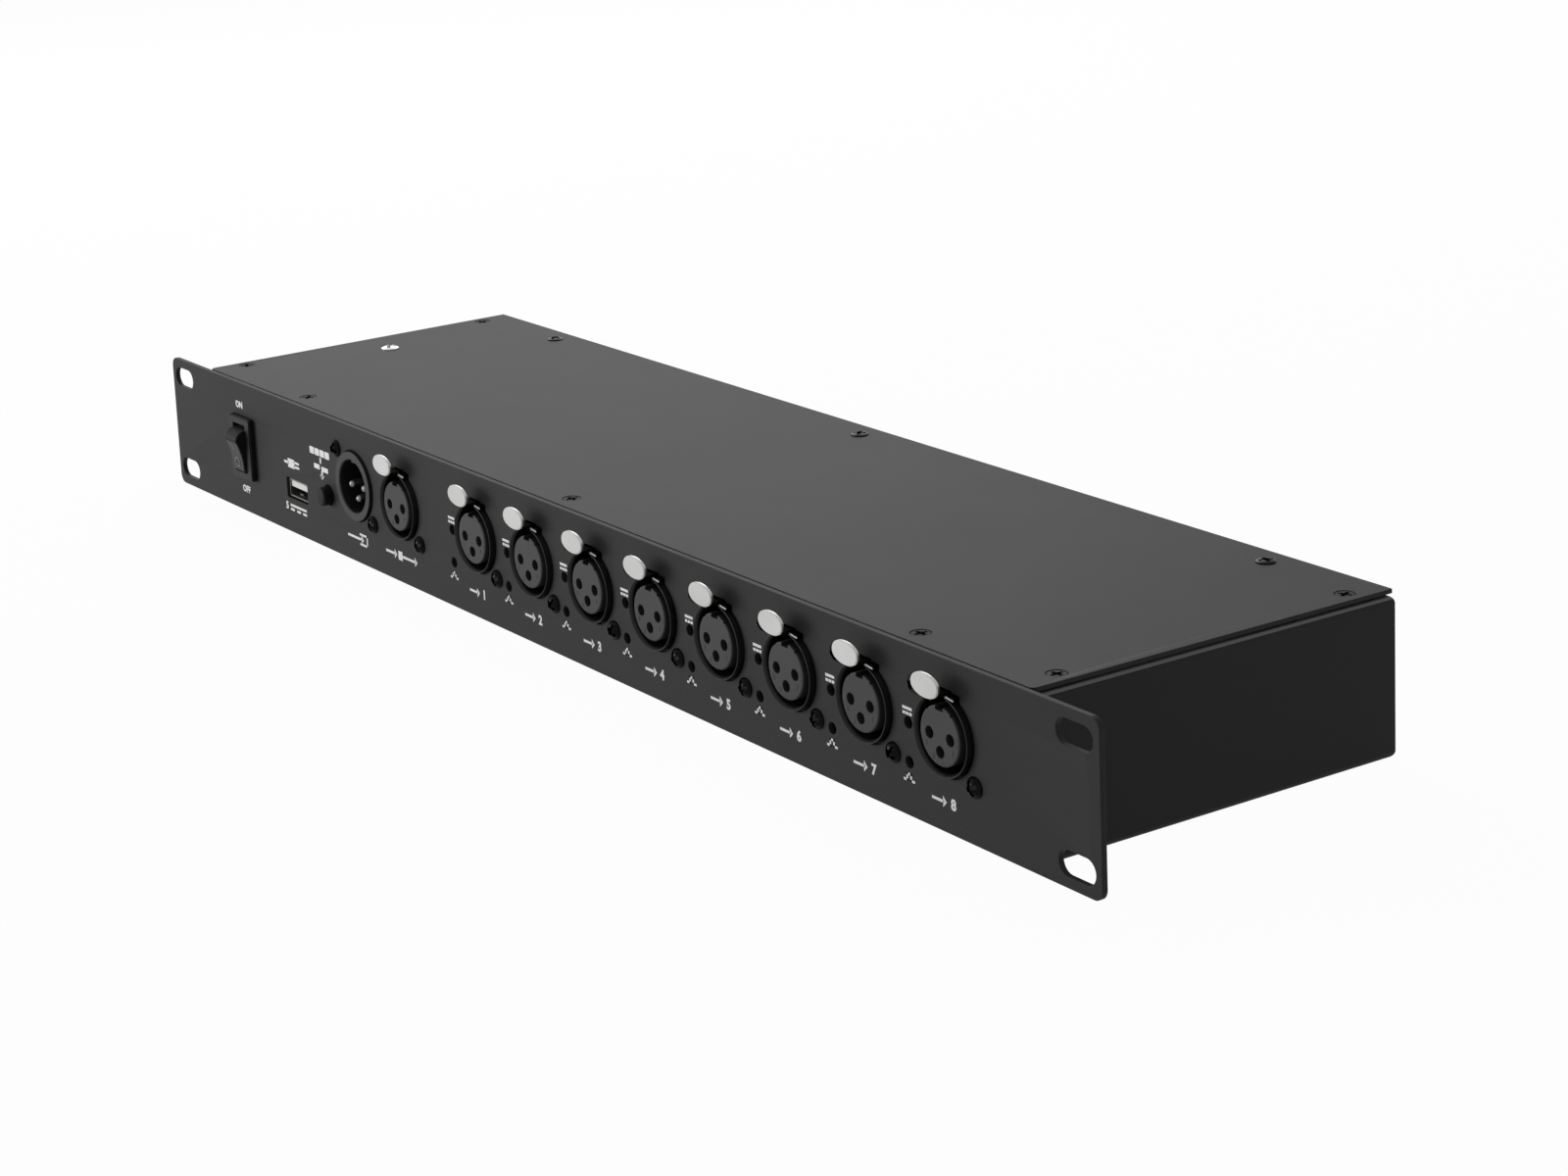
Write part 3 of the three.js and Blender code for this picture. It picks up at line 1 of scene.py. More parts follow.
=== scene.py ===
"""Look of a one-unit rack splitter for signals: eight outputs, one input and one through."""

import math

import bmesh
import bpy
from mathutils import Matrix, Vector


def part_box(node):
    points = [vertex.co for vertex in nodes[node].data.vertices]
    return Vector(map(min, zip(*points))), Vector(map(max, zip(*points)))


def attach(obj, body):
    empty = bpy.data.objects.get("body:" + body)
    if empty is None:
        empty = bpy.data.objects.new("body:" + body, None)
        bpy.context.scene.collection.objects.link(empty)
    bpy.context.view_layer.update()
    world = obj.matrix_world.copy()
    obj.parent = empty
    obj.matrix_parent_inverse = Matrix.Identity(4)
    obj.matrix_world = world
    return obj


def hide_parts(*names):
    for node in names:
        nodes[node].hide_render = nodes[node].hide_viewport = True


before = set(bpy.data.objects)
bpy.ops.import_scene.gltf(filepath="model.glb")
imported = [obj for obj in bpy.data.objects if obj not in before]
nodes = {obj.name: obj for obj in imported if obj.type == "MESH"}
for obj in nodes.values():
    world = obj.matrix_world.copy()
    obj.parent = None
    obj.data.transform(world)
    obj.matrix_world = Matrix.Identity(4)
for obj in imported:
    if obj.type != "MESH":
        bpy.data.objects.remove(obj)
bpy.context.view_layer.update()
chassis = "chassis"

MM = 0.001

# Places and sizes in millimetres, the same as in the solids
panel_low, panel_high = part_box("front_panel")
cover_low, cover_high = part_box("top_cover")
PANEL_FRONT = panel_low.y / MM
PANEL_BACK = panel_high.y / MM
PANEL_HEIGHT = panel_high.z / MM
PANEL_HALF_WIDTH = panel_high.x / MM
PANEL_CORNER = 3.0
COVER_TOP = cover_high.z / MM
COVER_CORNER = 1.5
SLOT_X, SLOT_Z = 232.55, 15.875
SLOT_HALF_LENGTH, SLOT_RADIUS = 6.5, 3.25
AXIS_Z = 24.9
OUTPUTS = [-36.7 + 31.66 * index for index in range(8)]
THROUGH, INPUT = -82.5, -112.0
SOCKETS = [THROUGH] + OUTPUTS
SOCKET_NAMES = ["thru"] + [f"out_{number}" for number in range(1, 9)]
LAMP_OFFSET, LAMP_DROPS = -14.6, (0.9, 11.0)
SCREW_X, SCREW_Z = 10.9, 10.1
ROCKER_X, ROCKER_Z = -188.6, 22.5
BUTTON_X, BUTTON_Z = -130.4, 18.1
SMALL_X, SMALL_Z = -152.6, 14.9
INLET_X, INLET_Z = -172.0, 21.25
REAR_WALL = 57.3


# ---------------------------------------------------------------- finishes

# Width in millimetres of the faint patches in every surface, and the band of the noise, with
# its dark and its light end, that they are read from
PATCH_WIDTH = 22
PATCH_DARK, PATCH_LIGHT = 0.3, 0.7


def linear(text):
    """An sRGB hex colour as the linear one that a shader takes."""
    channels = [int(text[i:i + 2], 16) / 255 for i in (1, 3, 5)]
    return [c / 12.92 if c <= 0.04045 else ((c + 0.055) / 1.055) ** 2.4 for c in channels] + [1.0]


def add(tree, kind, inputs=None, **settings):
    """A node with its settings, and each input set to a value or linked to an output."""
    node = tree.nodes.new(kind)
    for name, value in settings.items():
        setattr(node, name, value)
    for name, value in (inputs or {}).items():
        if isinstance(value, bpy.types.NodeSocket):
            tree.links.new(value, node.inputs[name])
        else:
            node.inputs[name].default_value = value
    return node


def finish(name, colour, roughness, metallic=0.0, grain=None, relief=0.0, mottle=0.0, wear=0.0,
           **sockets):
    """A surface with a grain of a real size in millimetres, a little uneven in colour and gloss."""
    material = bpy.data.materials.new(name)
    material.use_nodes = True
    tree = material.node_tree
    shader = tree.nodes["Principled BSDF"]
    shader.inputs["Metallic"].default_value = metallic
    for socket, value in sockets.items():
        shader.inputs[socket.replace("_", " ")].default_value = value
    place = add(tree, "ShaderNodeTexCoord").outputs["Object"]
    patches = add(tree, "ShaderNodeTexNoise", {
        "Vector": place, "Scale": 1 / (PATCH_WIDTH * MM), "Detail": 4.0})
    shade = add(tree, "ShaderNodeValToRGB", {"Fac": patches.outputs["Fac"]})
    dark, light = shade.color_ramp.elements
    for end, position, share in ((dark, PATCH_DARK, 1 - mottle), (light, PATCH_LIGHT, 1 + mottle)):
        end.position = position
        end.color = [channel * share for channel in linear(colour)[:3]] + [1.0]
    tree.links.new(shade.outputs["Color"], shader.inputs["Base Color"])
    gloss = add(tree, "ShaderNodeMapRange", {
        "Value": patches.outputs["Fac"], "From Min": PATCH_DARK, "From Max": PATCH_LIGHT,
        "To Min": roughness - wear, "To Max": roughness + wear})
    tree.links.new(gloss.outputs["Result"], shader.inputs["Roughness"])
    if grain:
        specks = add(tree, "ShaderNodeTexNoise", {
            "Vector": place, "Scale": 1 / (grain * MM), "Detail": 3.0})
        bump = add(tree, "ShaderNodeBump", {
            "Height": specks.outputs["Fac"], "Strength": 1.0, "Distance": relief * MM})
        tree.links.new(bump.outputs["Normal"], shader.inputs["Normal"])
    return material


# Polyester powder coat on steel, sprayed and baked: a dry, even sheen over a grain of about
# 0.2 mm, drawn at 0.7 mm so that it shows
powder_coat = finish("black_powder_coat", "#2e2e2f", 0.62, grain=0.7, relief=0.03, mottle=0.006,
                     wear=0.006, Specular_IOR_Level=0.12)
# The same coat along a bend, lighter and glossier: a painted highlight along the bend
bend_highlight_coat = finish("rubbed_powder_coat", "#4c4c4d", 0.36, grain=0.7, relief=0.012, mottle=0.03,
                     wear=0.03, Specular_IOR_Level=0.5)
# Glass-filled nylon of the connectors, moulded: a satin black with faint flow marks
moulded_nylon = finish("moulded_black_nylon", "#0b0b0c", 0.5, grain=0.5, relief=0.012,
                       mottle=0.12, wear=0.06, Specular_IOR_Level=0.28)
# The same nylon a shade lighter, on the input's cup
plug_nylon = finish("rubbed_black_nylon", "#131314", 0.5, grain=0.5, relief=0.012, mottle=0.1,
                    wear=0.06, Specular_IOR_Level=0.3)
# Polyester of the contact holders, moulded: a dull charcoal with a matt tool finish
holder_polyester = finish("moulded_charcoal_polyester", "#2f2f30", 0.62, grain=0.35, relief=0.02,
                          mottle=0.05, wear=0.04, Specular_IOR_Level=0.3)
# Moulded ABS of the switch frame's face, the button's switch, the inlet and the fuse drawer:
# smoother than the nylon, with coarser and fainter marks
switch_plastic = finish("moulded_black_abs", "#0d0d0e", 0.5, grain=0.9, relief=0.008, mottle=0.08,
                        wear=0.05, Specular_IOR_Level=0.2)
# Black acetal of the push button: a dull, deep black that hardly catches the light. On the sides of
# the rocker and its frame, and on the rocker's upper end, the same black is painted shade
black_acetal_and_side_shade = finish("moulded_black_acetal", "#0a0a0b", 0.6, grain=0.6, relief=0.01,
                       mottle=0.08, wear=0.04, Specular_IOR_Level=0.15)
# The rocker's face in a satin charcoal, lighter than the black of its upper end and sides: painted
# light on the one moulding
rocker_face_painted_light = finish("moulded_charcoal_polycarbonate", "#242425", 0.5, grain=0.9, relief=0.008,
                        mottle=0.05, wear=0.04, Specular_IOR_Level=0.25)
# Off-white filling of the rocker's moulded marks, toned down to a dim grey
mark_inlay = finish("worn_mark_inlay", "#6c6c6b", 0.6, grain=0.3, relief=0.006, mottle=0.05,
                    wear=0.04)
# Satin nickel over die-cast zinc: a soft bright grey without a mirror image
satin_nickel = finish("satin_nickel_plate", "#afafad", 0.4, 1.0, grain=0.25, relief=0.01,
                      mottle=0.02, wear=0.05)
# The same plate, darker: painted shade on the contacts deep in the sockets and the cup, and on the
# small socket's shell in its cut-out
shaded_nickel = finish("dulled_nickel_plate", "#7b7b79", 0.42, 1.0, grain=0.25, relief=0.01,
                       mottle=0.03, wear=0.05)
# Gold flash over nickel on the flat contacts of the small socket
gold_flash = finish("gold_flashed_contact", "#d8c79c", 0.3, 1.0, mottle=0.04, wear=0.04)
# Black oxide on the steel of screws: nearly black, with a small dim glint. The same black on the
# latches' necks and strips is painted shade under the tabs
black_oxide_and_latch_shade = finish("black_oxide_screw", "#030303", 0.28, grain=0.3, relief=0.008, mottle=0.1,
                     wear=0.05, Specular_IOR_Level=0.07)
# The flush screws of the cover under a thin brushing of its coat: a dull dark grey
coated_screw = finish("coated_flush_screw", "#1c1c1d", 0.6, grain=0.3, relief=0.01, mottle=0.05,
                      wear=0.04, Specular_IOR_Level=0.1)
# Bright zinc on the earth screw
zinc_screw = finish("bright_zinc_screw", "#cfcfce", 0.28, 1.0, grain=0.3, relief=0.008,
                    mottle=0.04, wear=0.05)
# Screen-printed epoxy ink: flat white, a few hundredths of a millimetre thick
print_ink = finish("white_screen_ink", "#e6e6e4", 0.7, grain=0.3, relief=0.006, mottle=0.03,
                   wear=0.03)
# Smoky epoxy of an unlit lamp, grey where its dome turns to the light
lamp_epoxy = finish("unlit_lamp_epoxy", "#59595b", 0.12, mottle=0.1, wear=0.03, Coat_Weight=0.5)
# White nylon of the small socket's tongue
white_nylon = finish("moulded_white_nylon", "#dededb", 0.45, mottle=0.03, wear=0.04)
# Tinned blades of the mains inlet
tinned_blade = finish("tinned_brass_blade", "#c4c2bc", 0.33, 1.0, grain=0.4, relief=0.008,
                      mottle=0.05, wear=0.06)
# Glass-epoxy laminate under green solder resist
board_resist = finish("green_solder_resist", "#1c4a2d", 0.35, grain=1.2, relief=0.01,
                      mottle=0.12, wear=0.05)
# Dark ferrite and tape of the supply transformer
ferrite = finish("sintered_ferrite", "#2a2927", 0.6, grain=0.5, relief=0.03, mottle=0.15,
                 wear=0.08)
# Drawn aluminium can in a shrunk sleeve
sleeved_can = finish("sleeved_aluminium_can", "#23262c", 0.4, mottle=0.06, wear=0.05)
# Clear glass tube of the fuse
fuse_glass = finish("fuse_glass_tube", "#e8eceb", 0.05, Transmission_Weight=0.85)


# ---------------------------------------------------------------- making pieces

def in_scene(name, data):
    """A new object at the origin that holds the data."""
    made = bpy.data.objects.new(name, data)
    bpy.context.scene.collection.objects.link(made)
    return made


def discard(thing):
    """A helper object removed with its mesh."""
    mesh = thing.data
    bpy.data.objects.remove(thing)
    bpy.data.meshes.remove(mesh)


def dress(thing, material):
    """One finish all over an object."""
    thing.data.materials.clear()
    thing.data.materials.append(material)


def refinish(made, material, chosen):
    """A second finish on the chosen faces of a piece."""
    made.data.materials.append(material)
    for face in made.data.polygons:
        if chosen(face):
            face.material_index = 1


def piece(name, mesh, body, material, stands_for=()):
    """A finished mesh as a piece that rides on a body, in a new finish or in what it has."""
    mesh.name = name
    made = in_scene(name, mesh)
    if material:
        dress(made, material)
    if stands_for:
        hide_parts(*stands_for)
    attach(made, body)
    return made


def settled(thing):
    """The mesh of an object once its modifiers, or its curve, are worked out."""
    bpy.context.view_layer.update()
    depsgraph = bpy.context.evaluated_depsgraph_get()
    return bpy.data.meshes.new_from_object(thing.evaluated_get(depsgraph), depsgraph=depsgraph)


def as_shape(mesh):
    """A mesh turned into a bmesh."""
    shape = bmesh.new()
    shape.from_mesh(mesh)
    bpy.data.meshes.remove(mesh)
    return shape


def as_mesh(shape, name):
    """A bmesh turned into a mesh."""
    mesh = bpy.data.meshes.new(name)
    shape.to_mesh(mesh)
    shape.free()
    return mesh


# A face this many times larger than its neighbour is a wide flat, whose edge stays crisp from
# this angle in degrees
WIDE_FLAT, FLAT_END = 6, 2.0


def to_mesh(shape, smooth=35.0, recalculate=True):
    """A bmesh in millimetres as a mesh in metres, shaded round except at its sharp edges."""
    bmesh.ops.remove_doubles(shape, verts=shape.verts, dist=1e-4)
    if recalculate:
        bmesh.ops.recalc_face_normals(shape, faces=shape.faces)
    areas = {face: face.calc_area() for face in shape.faces}
    for face in shape.faces:
        face.smooth = True
    for edge in shape.edges:
        if not edge.is_manifold:
            edge.smooth = False
            continue
        near, far = sorted(areas[face] for face in edge.link_faces)
        limit = smooth if far < WIDE_FLAT * near else FLAT_END
        edge.smooth = edge.calc_face_angle(0.0) < math.radians(limit)
    bmesh.ops.transform(shape, matrix=Matrix.Scale(MM, 4), verts=shape.verts)
    return as_mesh(shape, "part")


def turned(profile, segments, solid=True):
    """A form turned about the Y axis from (radius, y) points."""
    shape = bmesh.new()
    rings = []
    for radius, y in profile:
        if radius < 1e-6:
            rings.append([shape.verts.new((0, y, 0))])
            continue
        angles = [2 * math.pi * step / segments for step in range(segments)]
        rings.append([shape.verts.new((radius * math.cos(angle), y, radius * math.sin(angle)))
                      for angle in angles])
    pairs = list(zip(rings, rings[1:])) + ([(rings[-1], rings[0])] if not solid else [])
    for near, far in pairs:
        for step in range(segments):
            following = (step + 1) % segments
            corners = [near[step % len(near)], near[following % len(near)],
                       far[following % len(far)], far[step % len(far)]]
            distinct = list(dict.fromkeys(corners))
            if len(distinct) > 2:
                shape.faces.new(distinct)
    return shape


def slab(outline, low, high, along="y"):
    """An outline pushed from low to high: (x, z) points along Y, or (y, z) points along X."""
    shape = bmesh.new()
    at = {"y": lambda u, v, w: (u, w, v), "x": lambda u, v, w: (w, u, v)}[along]
    near = [shape.verts.new(at(u, v, low)) for u, v in outline]
    far = [shape.verts.new(at(u, v, high)) for u, v in outline]
    shape.faces.new(near)
    shape.faces.new(list(reversed(far)))
    for step in range(len(outline)):
        following = (step + 1) % len(outline)
        shape.faces.new([near[step], far[step], far[following], near[following]])
    bmesh.ops.recalc_face_normals(shape, faces=shape.faces)
    return shape


def arc(x, z, radius, start, end, steps):
    """Points on an arc in degrees, both ends included."""
    return [(x + radius * math.cos(math.radians(start + (end - start) * step / steps)),
             z + radius * math.sin(math.radians(start + (end - start) * step / steps)))
            for step in range(steps + 1)]


def rounded(width, height, radius, x=0.0, z=0.0, steps=8):
    """Outline of a rectangle with rounded corners about a centre."""
    right, top = width / 2 - radius, height / 2 - radius
    corners = ((right, -top, -90), (right, top, 0), (-right, top, 90), (-right, -top, 180))
    return [point for across, over, start in corners
            for point in arc(x + across, z + over, radius, start, start + 90, steps)]


def circle(x, z, radius, steps=32):
    """Outline of a circle."""
    return arc(x, z, radius, 0, 360, steps)[:-1]


def box(low, high):
    """A plain block between two corners."""
    corners = [(low[0], low[2]), (high[0], low[2]), (high[0], high[2]), (low[0], high[2])]
    return slab(corners, low[1], high[1])


def moved(shape, x=0.0, y=0.0, z=0.0):
    """A bmesh after a move."""
    bmesh.ops.translate(shape, vec=(x, y, z), verts=shape.verts)
    return shape


def at_each(places, make):
    """The same form made anew at each (x, z) place."""
    return [moved(make(), x, 0, z) for x, z in places]


def together(*shapes):
    """Several bmeshes as one."""
    whole = shapes[0]
    for other in shapes[1:]:
        loose = as_mesh(other, "loose")
        whole.from_mesh(loose)
        bpy.data.meshes.remove(loose)
    return whole


def eased(shape, width, segments, sharper=None, where=None, clamp=False):
    """Every edge rounded off, or only those over an angle whose ends all lie where asked."""
    edges = [edge for edge in shape.edges
             if (sharper is None or edge.calc_face_angle(0.0) > sharper)
             and (where is None or all(where(corner.co) for corner in edge.verts))]
    bmesh.ops.bevel(shape, geom=edges, offset=width, segments=segments, affect="EDGES",
                    clamp_overlap=clamp)
    return shape


def carved(body, cuts=(), joins=()):
    """A body with other forms joined to it and then cut from it."""
    def held(shape):
        """A clean closed form as an object, which a Boolean modifier can take."""
        bmesh.ops.remove_doubles(shape, verts=shape.verts, dist=1e-5)
        bmesh.ops.recalc_face_normals(shape, faces=shape.faces)
        many_sided = [face for face in shape.faces if len(face.verts) > 4]
        bmesh.ops.triangulate(shape, faces=many_sided)
        return in_scene("tool", as_mesh(shape, "tool"))
    main = held(body)
    tools = []
    for shapes, operation in ((joins, "UNION"), (cuts, "DIFFERENCE")):
        for shape in shapes:
            tools.append(held(shape))
            step = main.modifiers.new("carve", "BOOLEAN")
            step.operation, step.solver, step.object = operation, "EXACT", tools[-1]
    result = as_shape(settled(main))
    for thing in (main, *tools):
        discard(thing)
    return result


def from_curve(curve):
    """The solid that a flat filled curve gives, lying in X and Y, and the curve removed."""
    holder = in_scene(curve.name, curve)
    shape = as_shape(settled(holder))
    bpy.data.objects.remove(holder)
    bpy.data.curves.remove(curve)
    return shape


def upright(shape):
    """A shape that lies in X and Y stood up in X and Z."""
    bmesh.ops.transform(shape, matrix=Matrix.Rotation(math.pi / 2, 4, "X"), verts=shape.verts)
    return shape


def sheet(outlines, thickness, ease):
    """A flat sheet with holes and eased edges, with the plane of X and Y at its middle."""
    curve = bpy.data.curves.new("sheet", "CURVE")
    curve.dimensions, curve.fill_mode = "2D", "BOTH"
    curve.extrude = thickness / 2 - ease
    curve.bevel_depth, curve.bevel_resolution, curve.offset = ease, 1, -ease
    for outline in outlines:
        spline = curve.splines.new("POLY")
        spline.points.add(len(outline) - 1)
        for point, (u, v) in zip(spline.points, outline):
            point.co = (u, v, 0, 1)
        spline.use_cyclic_u = True
    return from_curve(curve)


def softened_copy(node):
    """A CAD node's own shape with its bends shaded round."""
    shape = bmesh.new()
    shape.from_mesh(nodes[node].data)
    bmesh.ops.remove_doubles(shape, verts=shape.verts, dist=1e-6)
    bmesh.ops.dissolve_limit(shape, angle_limit=math.radians(0.5), verts=shape.verts,
                             edges=shape.edges)
    bmesh.ops.transform(shape, matrix=Matrix.Scale(1 / MM, 4), verts=shape.verts)
    return to_mesh(shape, smooth=38.0)


# ---------------------------------------------------------------- what repeats

def new_tree(name, sockets):
    """An empty tree with a geometry in and out, and a named input for each size."""
    tree = bpy.data.node_groups.new(name, "GeometryNodeTree")
    tree.interface.new_socket("Geometry", in_out="OUTPUT", socket_type="NodeSocketGeometry")
    tree.interface.new_socket("Geometry", in_out="INPUT", socket_type="NodeSocketGeometry")
    for label, kind in sockets.items():
        tree.interface.new_socket(label, in_out="INPUT", socket_type=kind)
    return tree, add(tree, "NodeGroupInput").outputs


def planted(tree, given, inputs):
    """The end of a tree: an instance on every point, realised, in the finish that is given."""
    copies = add(tree, "GeometryNodeInstanceOnPoints", {"Points": given["Geometry"], **inputs})
    real = add(tree, "GeometryNodeRealizeInstances", {"Geometry": copies.outputs[0]})
    dressed = add(tree, "GeometryNodeSetMaterial", {
        "Geometry": real.outputs[0], "Material": given["Finish"]})
    add(tree, "NodeGroupOutput", {"Geometry": dressed.outputs[0]})
    return tree


def grown(name, places, tree, values, stands_for=()):
    """The mesh that a tree grows on the places, as a plain piece of the chassis."""
    points = bpy.data.meshes.new("places")
    points.from_pydata([tuple(c * MM for c in place) for place in places], [], [])
    host = in_scene(name, points)
    modifier = host.modifiers.new(tree.name, "NODES")
    modifier.node_group = tree
    for item in tree.interface.items_tree:
        if item.item_type == "SOCKET" and item.in_out == "INPUT" and item.name in values:
            modifier[item.identifier] = values[item.name]
    mesh = settled(host)
    host.modifiers.clear()
    discard(host)
    piece(name, mesh, chassis, None, stands_for)


def row_tree():
    """Copies of one pattern piece on the points."""
    tree, given = new_tree("connector_row", {
        "Pattern": "NodeSocketObject", "Finish": "NodeSocketMaterial"})
    pattern = add(tree, "GeometryNodeObjectInfo", {"Object": given["Pattern"], "As Instance": True})
    return planted(tree, given, {"Instance": pattern.outputs["Geometry"]})


rows = row_tree()


def row_of(name, shape, places, material, stands_for=()):
    """The same form at every place, as one piece of the chassis."""
    pattern = in_scene("pattern", to_mesh(shape))
    grown(name, places, rows, {"Pattern": pattern, "Finish": material}, stands_for)
    discard(pattern)


# ---------------------------------------------------------------- screws

# Edges of a head over this angle in degrees are sharp
HEAD_EDGE = 28


def screw_tree():
    """Crossed-recess screw heads on the points, each turned by its own angle."""
    tree, given = new_tree("crossed_screw_heads", {
        "Head radius": "NodeSocketFloat", "Head height": "NodeSocketFloat",
        "Crown radius": "NodeSocketFloat", "Recess length": "NodeSocketFloat",
        "Recess width": "NodeSocketFloat", "Recess depth": "NodeSocketFloat",
        "Aim": "NodeSocketRotation", "Seed": "NodeSocketInt", "Finish": "NodeSocketMaterial"})

    def lifted(form, height):
        """A form of the head moved up its axis."""
        offset = add(tree, "ShaderNodeCombineXYZ", {"Z": height})
        return add(tree, "GeometryNodeTransform", {
            "Geometry": form.outputs["Mesh"], "Translation": offset.outputs[0]}).outputs[0]

    shank = add(tree, "GeometryNodeMeshCylinder", {
        "Vertices": 40, "Side Segments": 1, "Radius": given["Head radius"],
        "Depth": given["Head height"]})
    half = add(tree, "ShaderNodeMath", {0: given["Head height"], 1: 0.5}, operation="MULTIPLY")
    ball = add(tree, "GeometryNodeMeshUVSphere", {
        "Segments": 48, "Rings": 32, "Radius": given["Crown radius"]})
    sink = add(tree, "ShaderNodeMath", {0: given["Head height"], 1: given["Crown radius"]},
               operation="SUBTRACT")
    domed = add(tree, "GeometryNodeMeshBoolean", operation="INTERSECT", solver="EXACT")
    for form in (lifted(shank, half.outputs[0]), lifted(ball, sink.outputs[0])):
        tree.links.new(form, domed.inputs["Mesh 2"])

    # The recess: two arms across each other, and a cone between them down to its bottom
    deep = add(tree, "ShaderNodeMath", {0: given["Recess depth"], 1: 2.0}, operation="MULTIPLY")
    recess = []
    for first, second in (("Recess length", "Recess width"), ("Recess width", "Recess length")):
        size = add(tree, "ShaderNodeCombineXYZ", {
            "X": given[first], "Y": given[second], "Z": deep.outputs[0]})
        arm = add(tree, "GeometryNodeMeshCube", {"Size": size.outputs[0]})
        recess.append(lifted(arm, given["Head height"]))
    core_width = add(tree, "ShaderNodeMath", {0: given["Recess width"], 1: 1.05},
                     operation="MULTIPLY")
    core = add(tree, "GeometryNodeMeshCone", {
        "Vertices": 16, "Radius Top": core_width.outputs[0], "Radius Bottom": 0.0001,
        "Depth": given["Recess depth"]})
    core_foot = add(tree, "ShaderNodeMath", {0: given["Head height"], 1: given["Recess depth"]},
                    operation="SUBTRACT")
    recess.append(lifted(core, core_foot.outputs[0]))
    recessed = add(tree, "GeometryNodeMeshBoolean", {"Mesh 1": domed.outputs["Mesh"]},
                   operation="DIFFERENCE", solver="EXACT")
    for form in recess:
        tree.links.new(form, recessed.inputs["Mesh 2"])

    smooth = add(tree, "GeometryNodeSetShadeSmooth", {
        "Geometry": recessed.outputs["Mesh"], "Shade Smooth": True})
    angle = add(tree, "GeometryNodeInputMeshEdgeAngle")
    sharp = add(tree, "FunctionNodeCompare", {"A": angle.outputs[0], "B": math.radians(HEAD_EDGE)},
                data_type="FLOAT", operation="GREATER_THAN")
    edged = add(tree, "GeometryNodeSetShadeSmooth", {
        "Geometry": smooth.outputs[0], "Selection": sharp.outputs["Result"],
        "Shade Smooth": False}, domain="EDGE")
    # Inputs 2 and 3 are the least and the most of a random number: up to a quarter turn
    spin = add(tree, "FunctionNodeRandomValue", {
        2: 0.0, 3: math.pi / 2, "Seed": given["Seed"]}, data_type="FLOAT")
    about = add(tree, "ShaderNodeCombineXYZ", {"Z": spin.outputs[1]})
    turn = add(tree, "FunctionNodeEulerToRotation", {"Euler": about.outputs[0]})
    aim = add(tree, "FunctionNodeRotateRotation", {
        "Rotation": given["Aim"], "Rotate By": turn.outputs[0]}, rotation_space="LOCAL")
    return planted(tree, given, {"Instance": edged.outputs[0], "Rotation": aim.outputs[0]})


screws = screw_tree()
FORWARD, UPWARD = (math.pi / 2, 0.0, 0.0), (0.0, 0.0, 0.0)
# Length and width of the recess as shares of the head's radius, and its depth in millimetres
RECESS_LENGTH, RECESS_WIDTH, RECESS_DEPTH = 1.5, 0.42, 1.25


def screw_set(name, places, radius, height, crown, aim, seed, material):
    """Screws of one size, with a recess that follows the radius of the head."""
    grown(name, places, screws, {
        "Head radius": radius * MM, "Head height": height * MM, "Crown radius": crown * MM,
        "Recess length": RECESS_LENGTH * radius * MM, "Recess width": RECESS_WIDTH * radius * MM,
        "Recess depth": RECESS_DEPTH * MM, "Aim": aim, "Seed": seed, "Finish": material})


connector_screws = [(x + side * SCREW_X, PANEL_FRONT, AXIS_Z - side * SCREW_Z)
                    for x in (INPUT, *SOCKETS) for side in (-1, 1)]
# The cover's middle screw stands a little right of the middle; heads start at these heights
COVER_MIDDLE = 5
FLUSH_FOOT, RAISED_FOOT = COVER_TOP - 1.04, COVER_TOP - 0.02
cover_flush = [(COVER_MIDDLE + step * 161, PANEL_FRONT + 8, FLUSH_FOOT) for step in (-1, 0, 1)]
cover_flush += [(side * 210.8, PANEL_FRONT + depth, FLUSH_FOOT)
                for side in (-1, 1) for depth in (13.3, 105)]
cover_raised = [(COVER_MIDDLE + step * 173.5, PANEL_FRONT + 109, RAISED_FOOT)
                for step in (-1, 0, 1)]
earth_place = [(-197.4, PANEL_FRONT + 60.8, RAISED_FOOT)]

screw_set("connector_screws", connector_screws, 2.7, 1.9, 3.1, FORWARD, 4, black_oxide_and_latch_shade)
screw_set("cover_flush_screws", cover_flush, 2.5, 1.0, 30.0, UPWARD, 9, coated_screw)
screw_set("cover_raised_screws", cover_raised, 2.6, 0.85, 7.0, UPWARD, 2, black_oxide_and_latch_shade)
screw_set("earth_screw", earth_place, 3.0, 1.3, 5.2, UPWARD, 5, zinc_screw)


# ---------------------------------------------------------------- sheet metal

def socket_hole(x):
    """Cut-out of one socket: a round hole with a stepped notch over it for the latch."""
    half, radius = 5.9, 10.9
    shoulder = math.degrees(math.asin(half / radius))
    right = [(half, 10.5), (half - 0.12, 10.8), (half - 0.4, 10.95), (3.0, 11.05), (2.8, 11.5),
             (2.6, 11.6)]
    notch = right + [(-u, v) for u, v in reversed(right)]
    return (arc(x, AXIS_Z, radius, 90 + shoulder, 450 - shoulder, 72)
            + [(x + u, AXIS_Z + v) for u, v in notch])


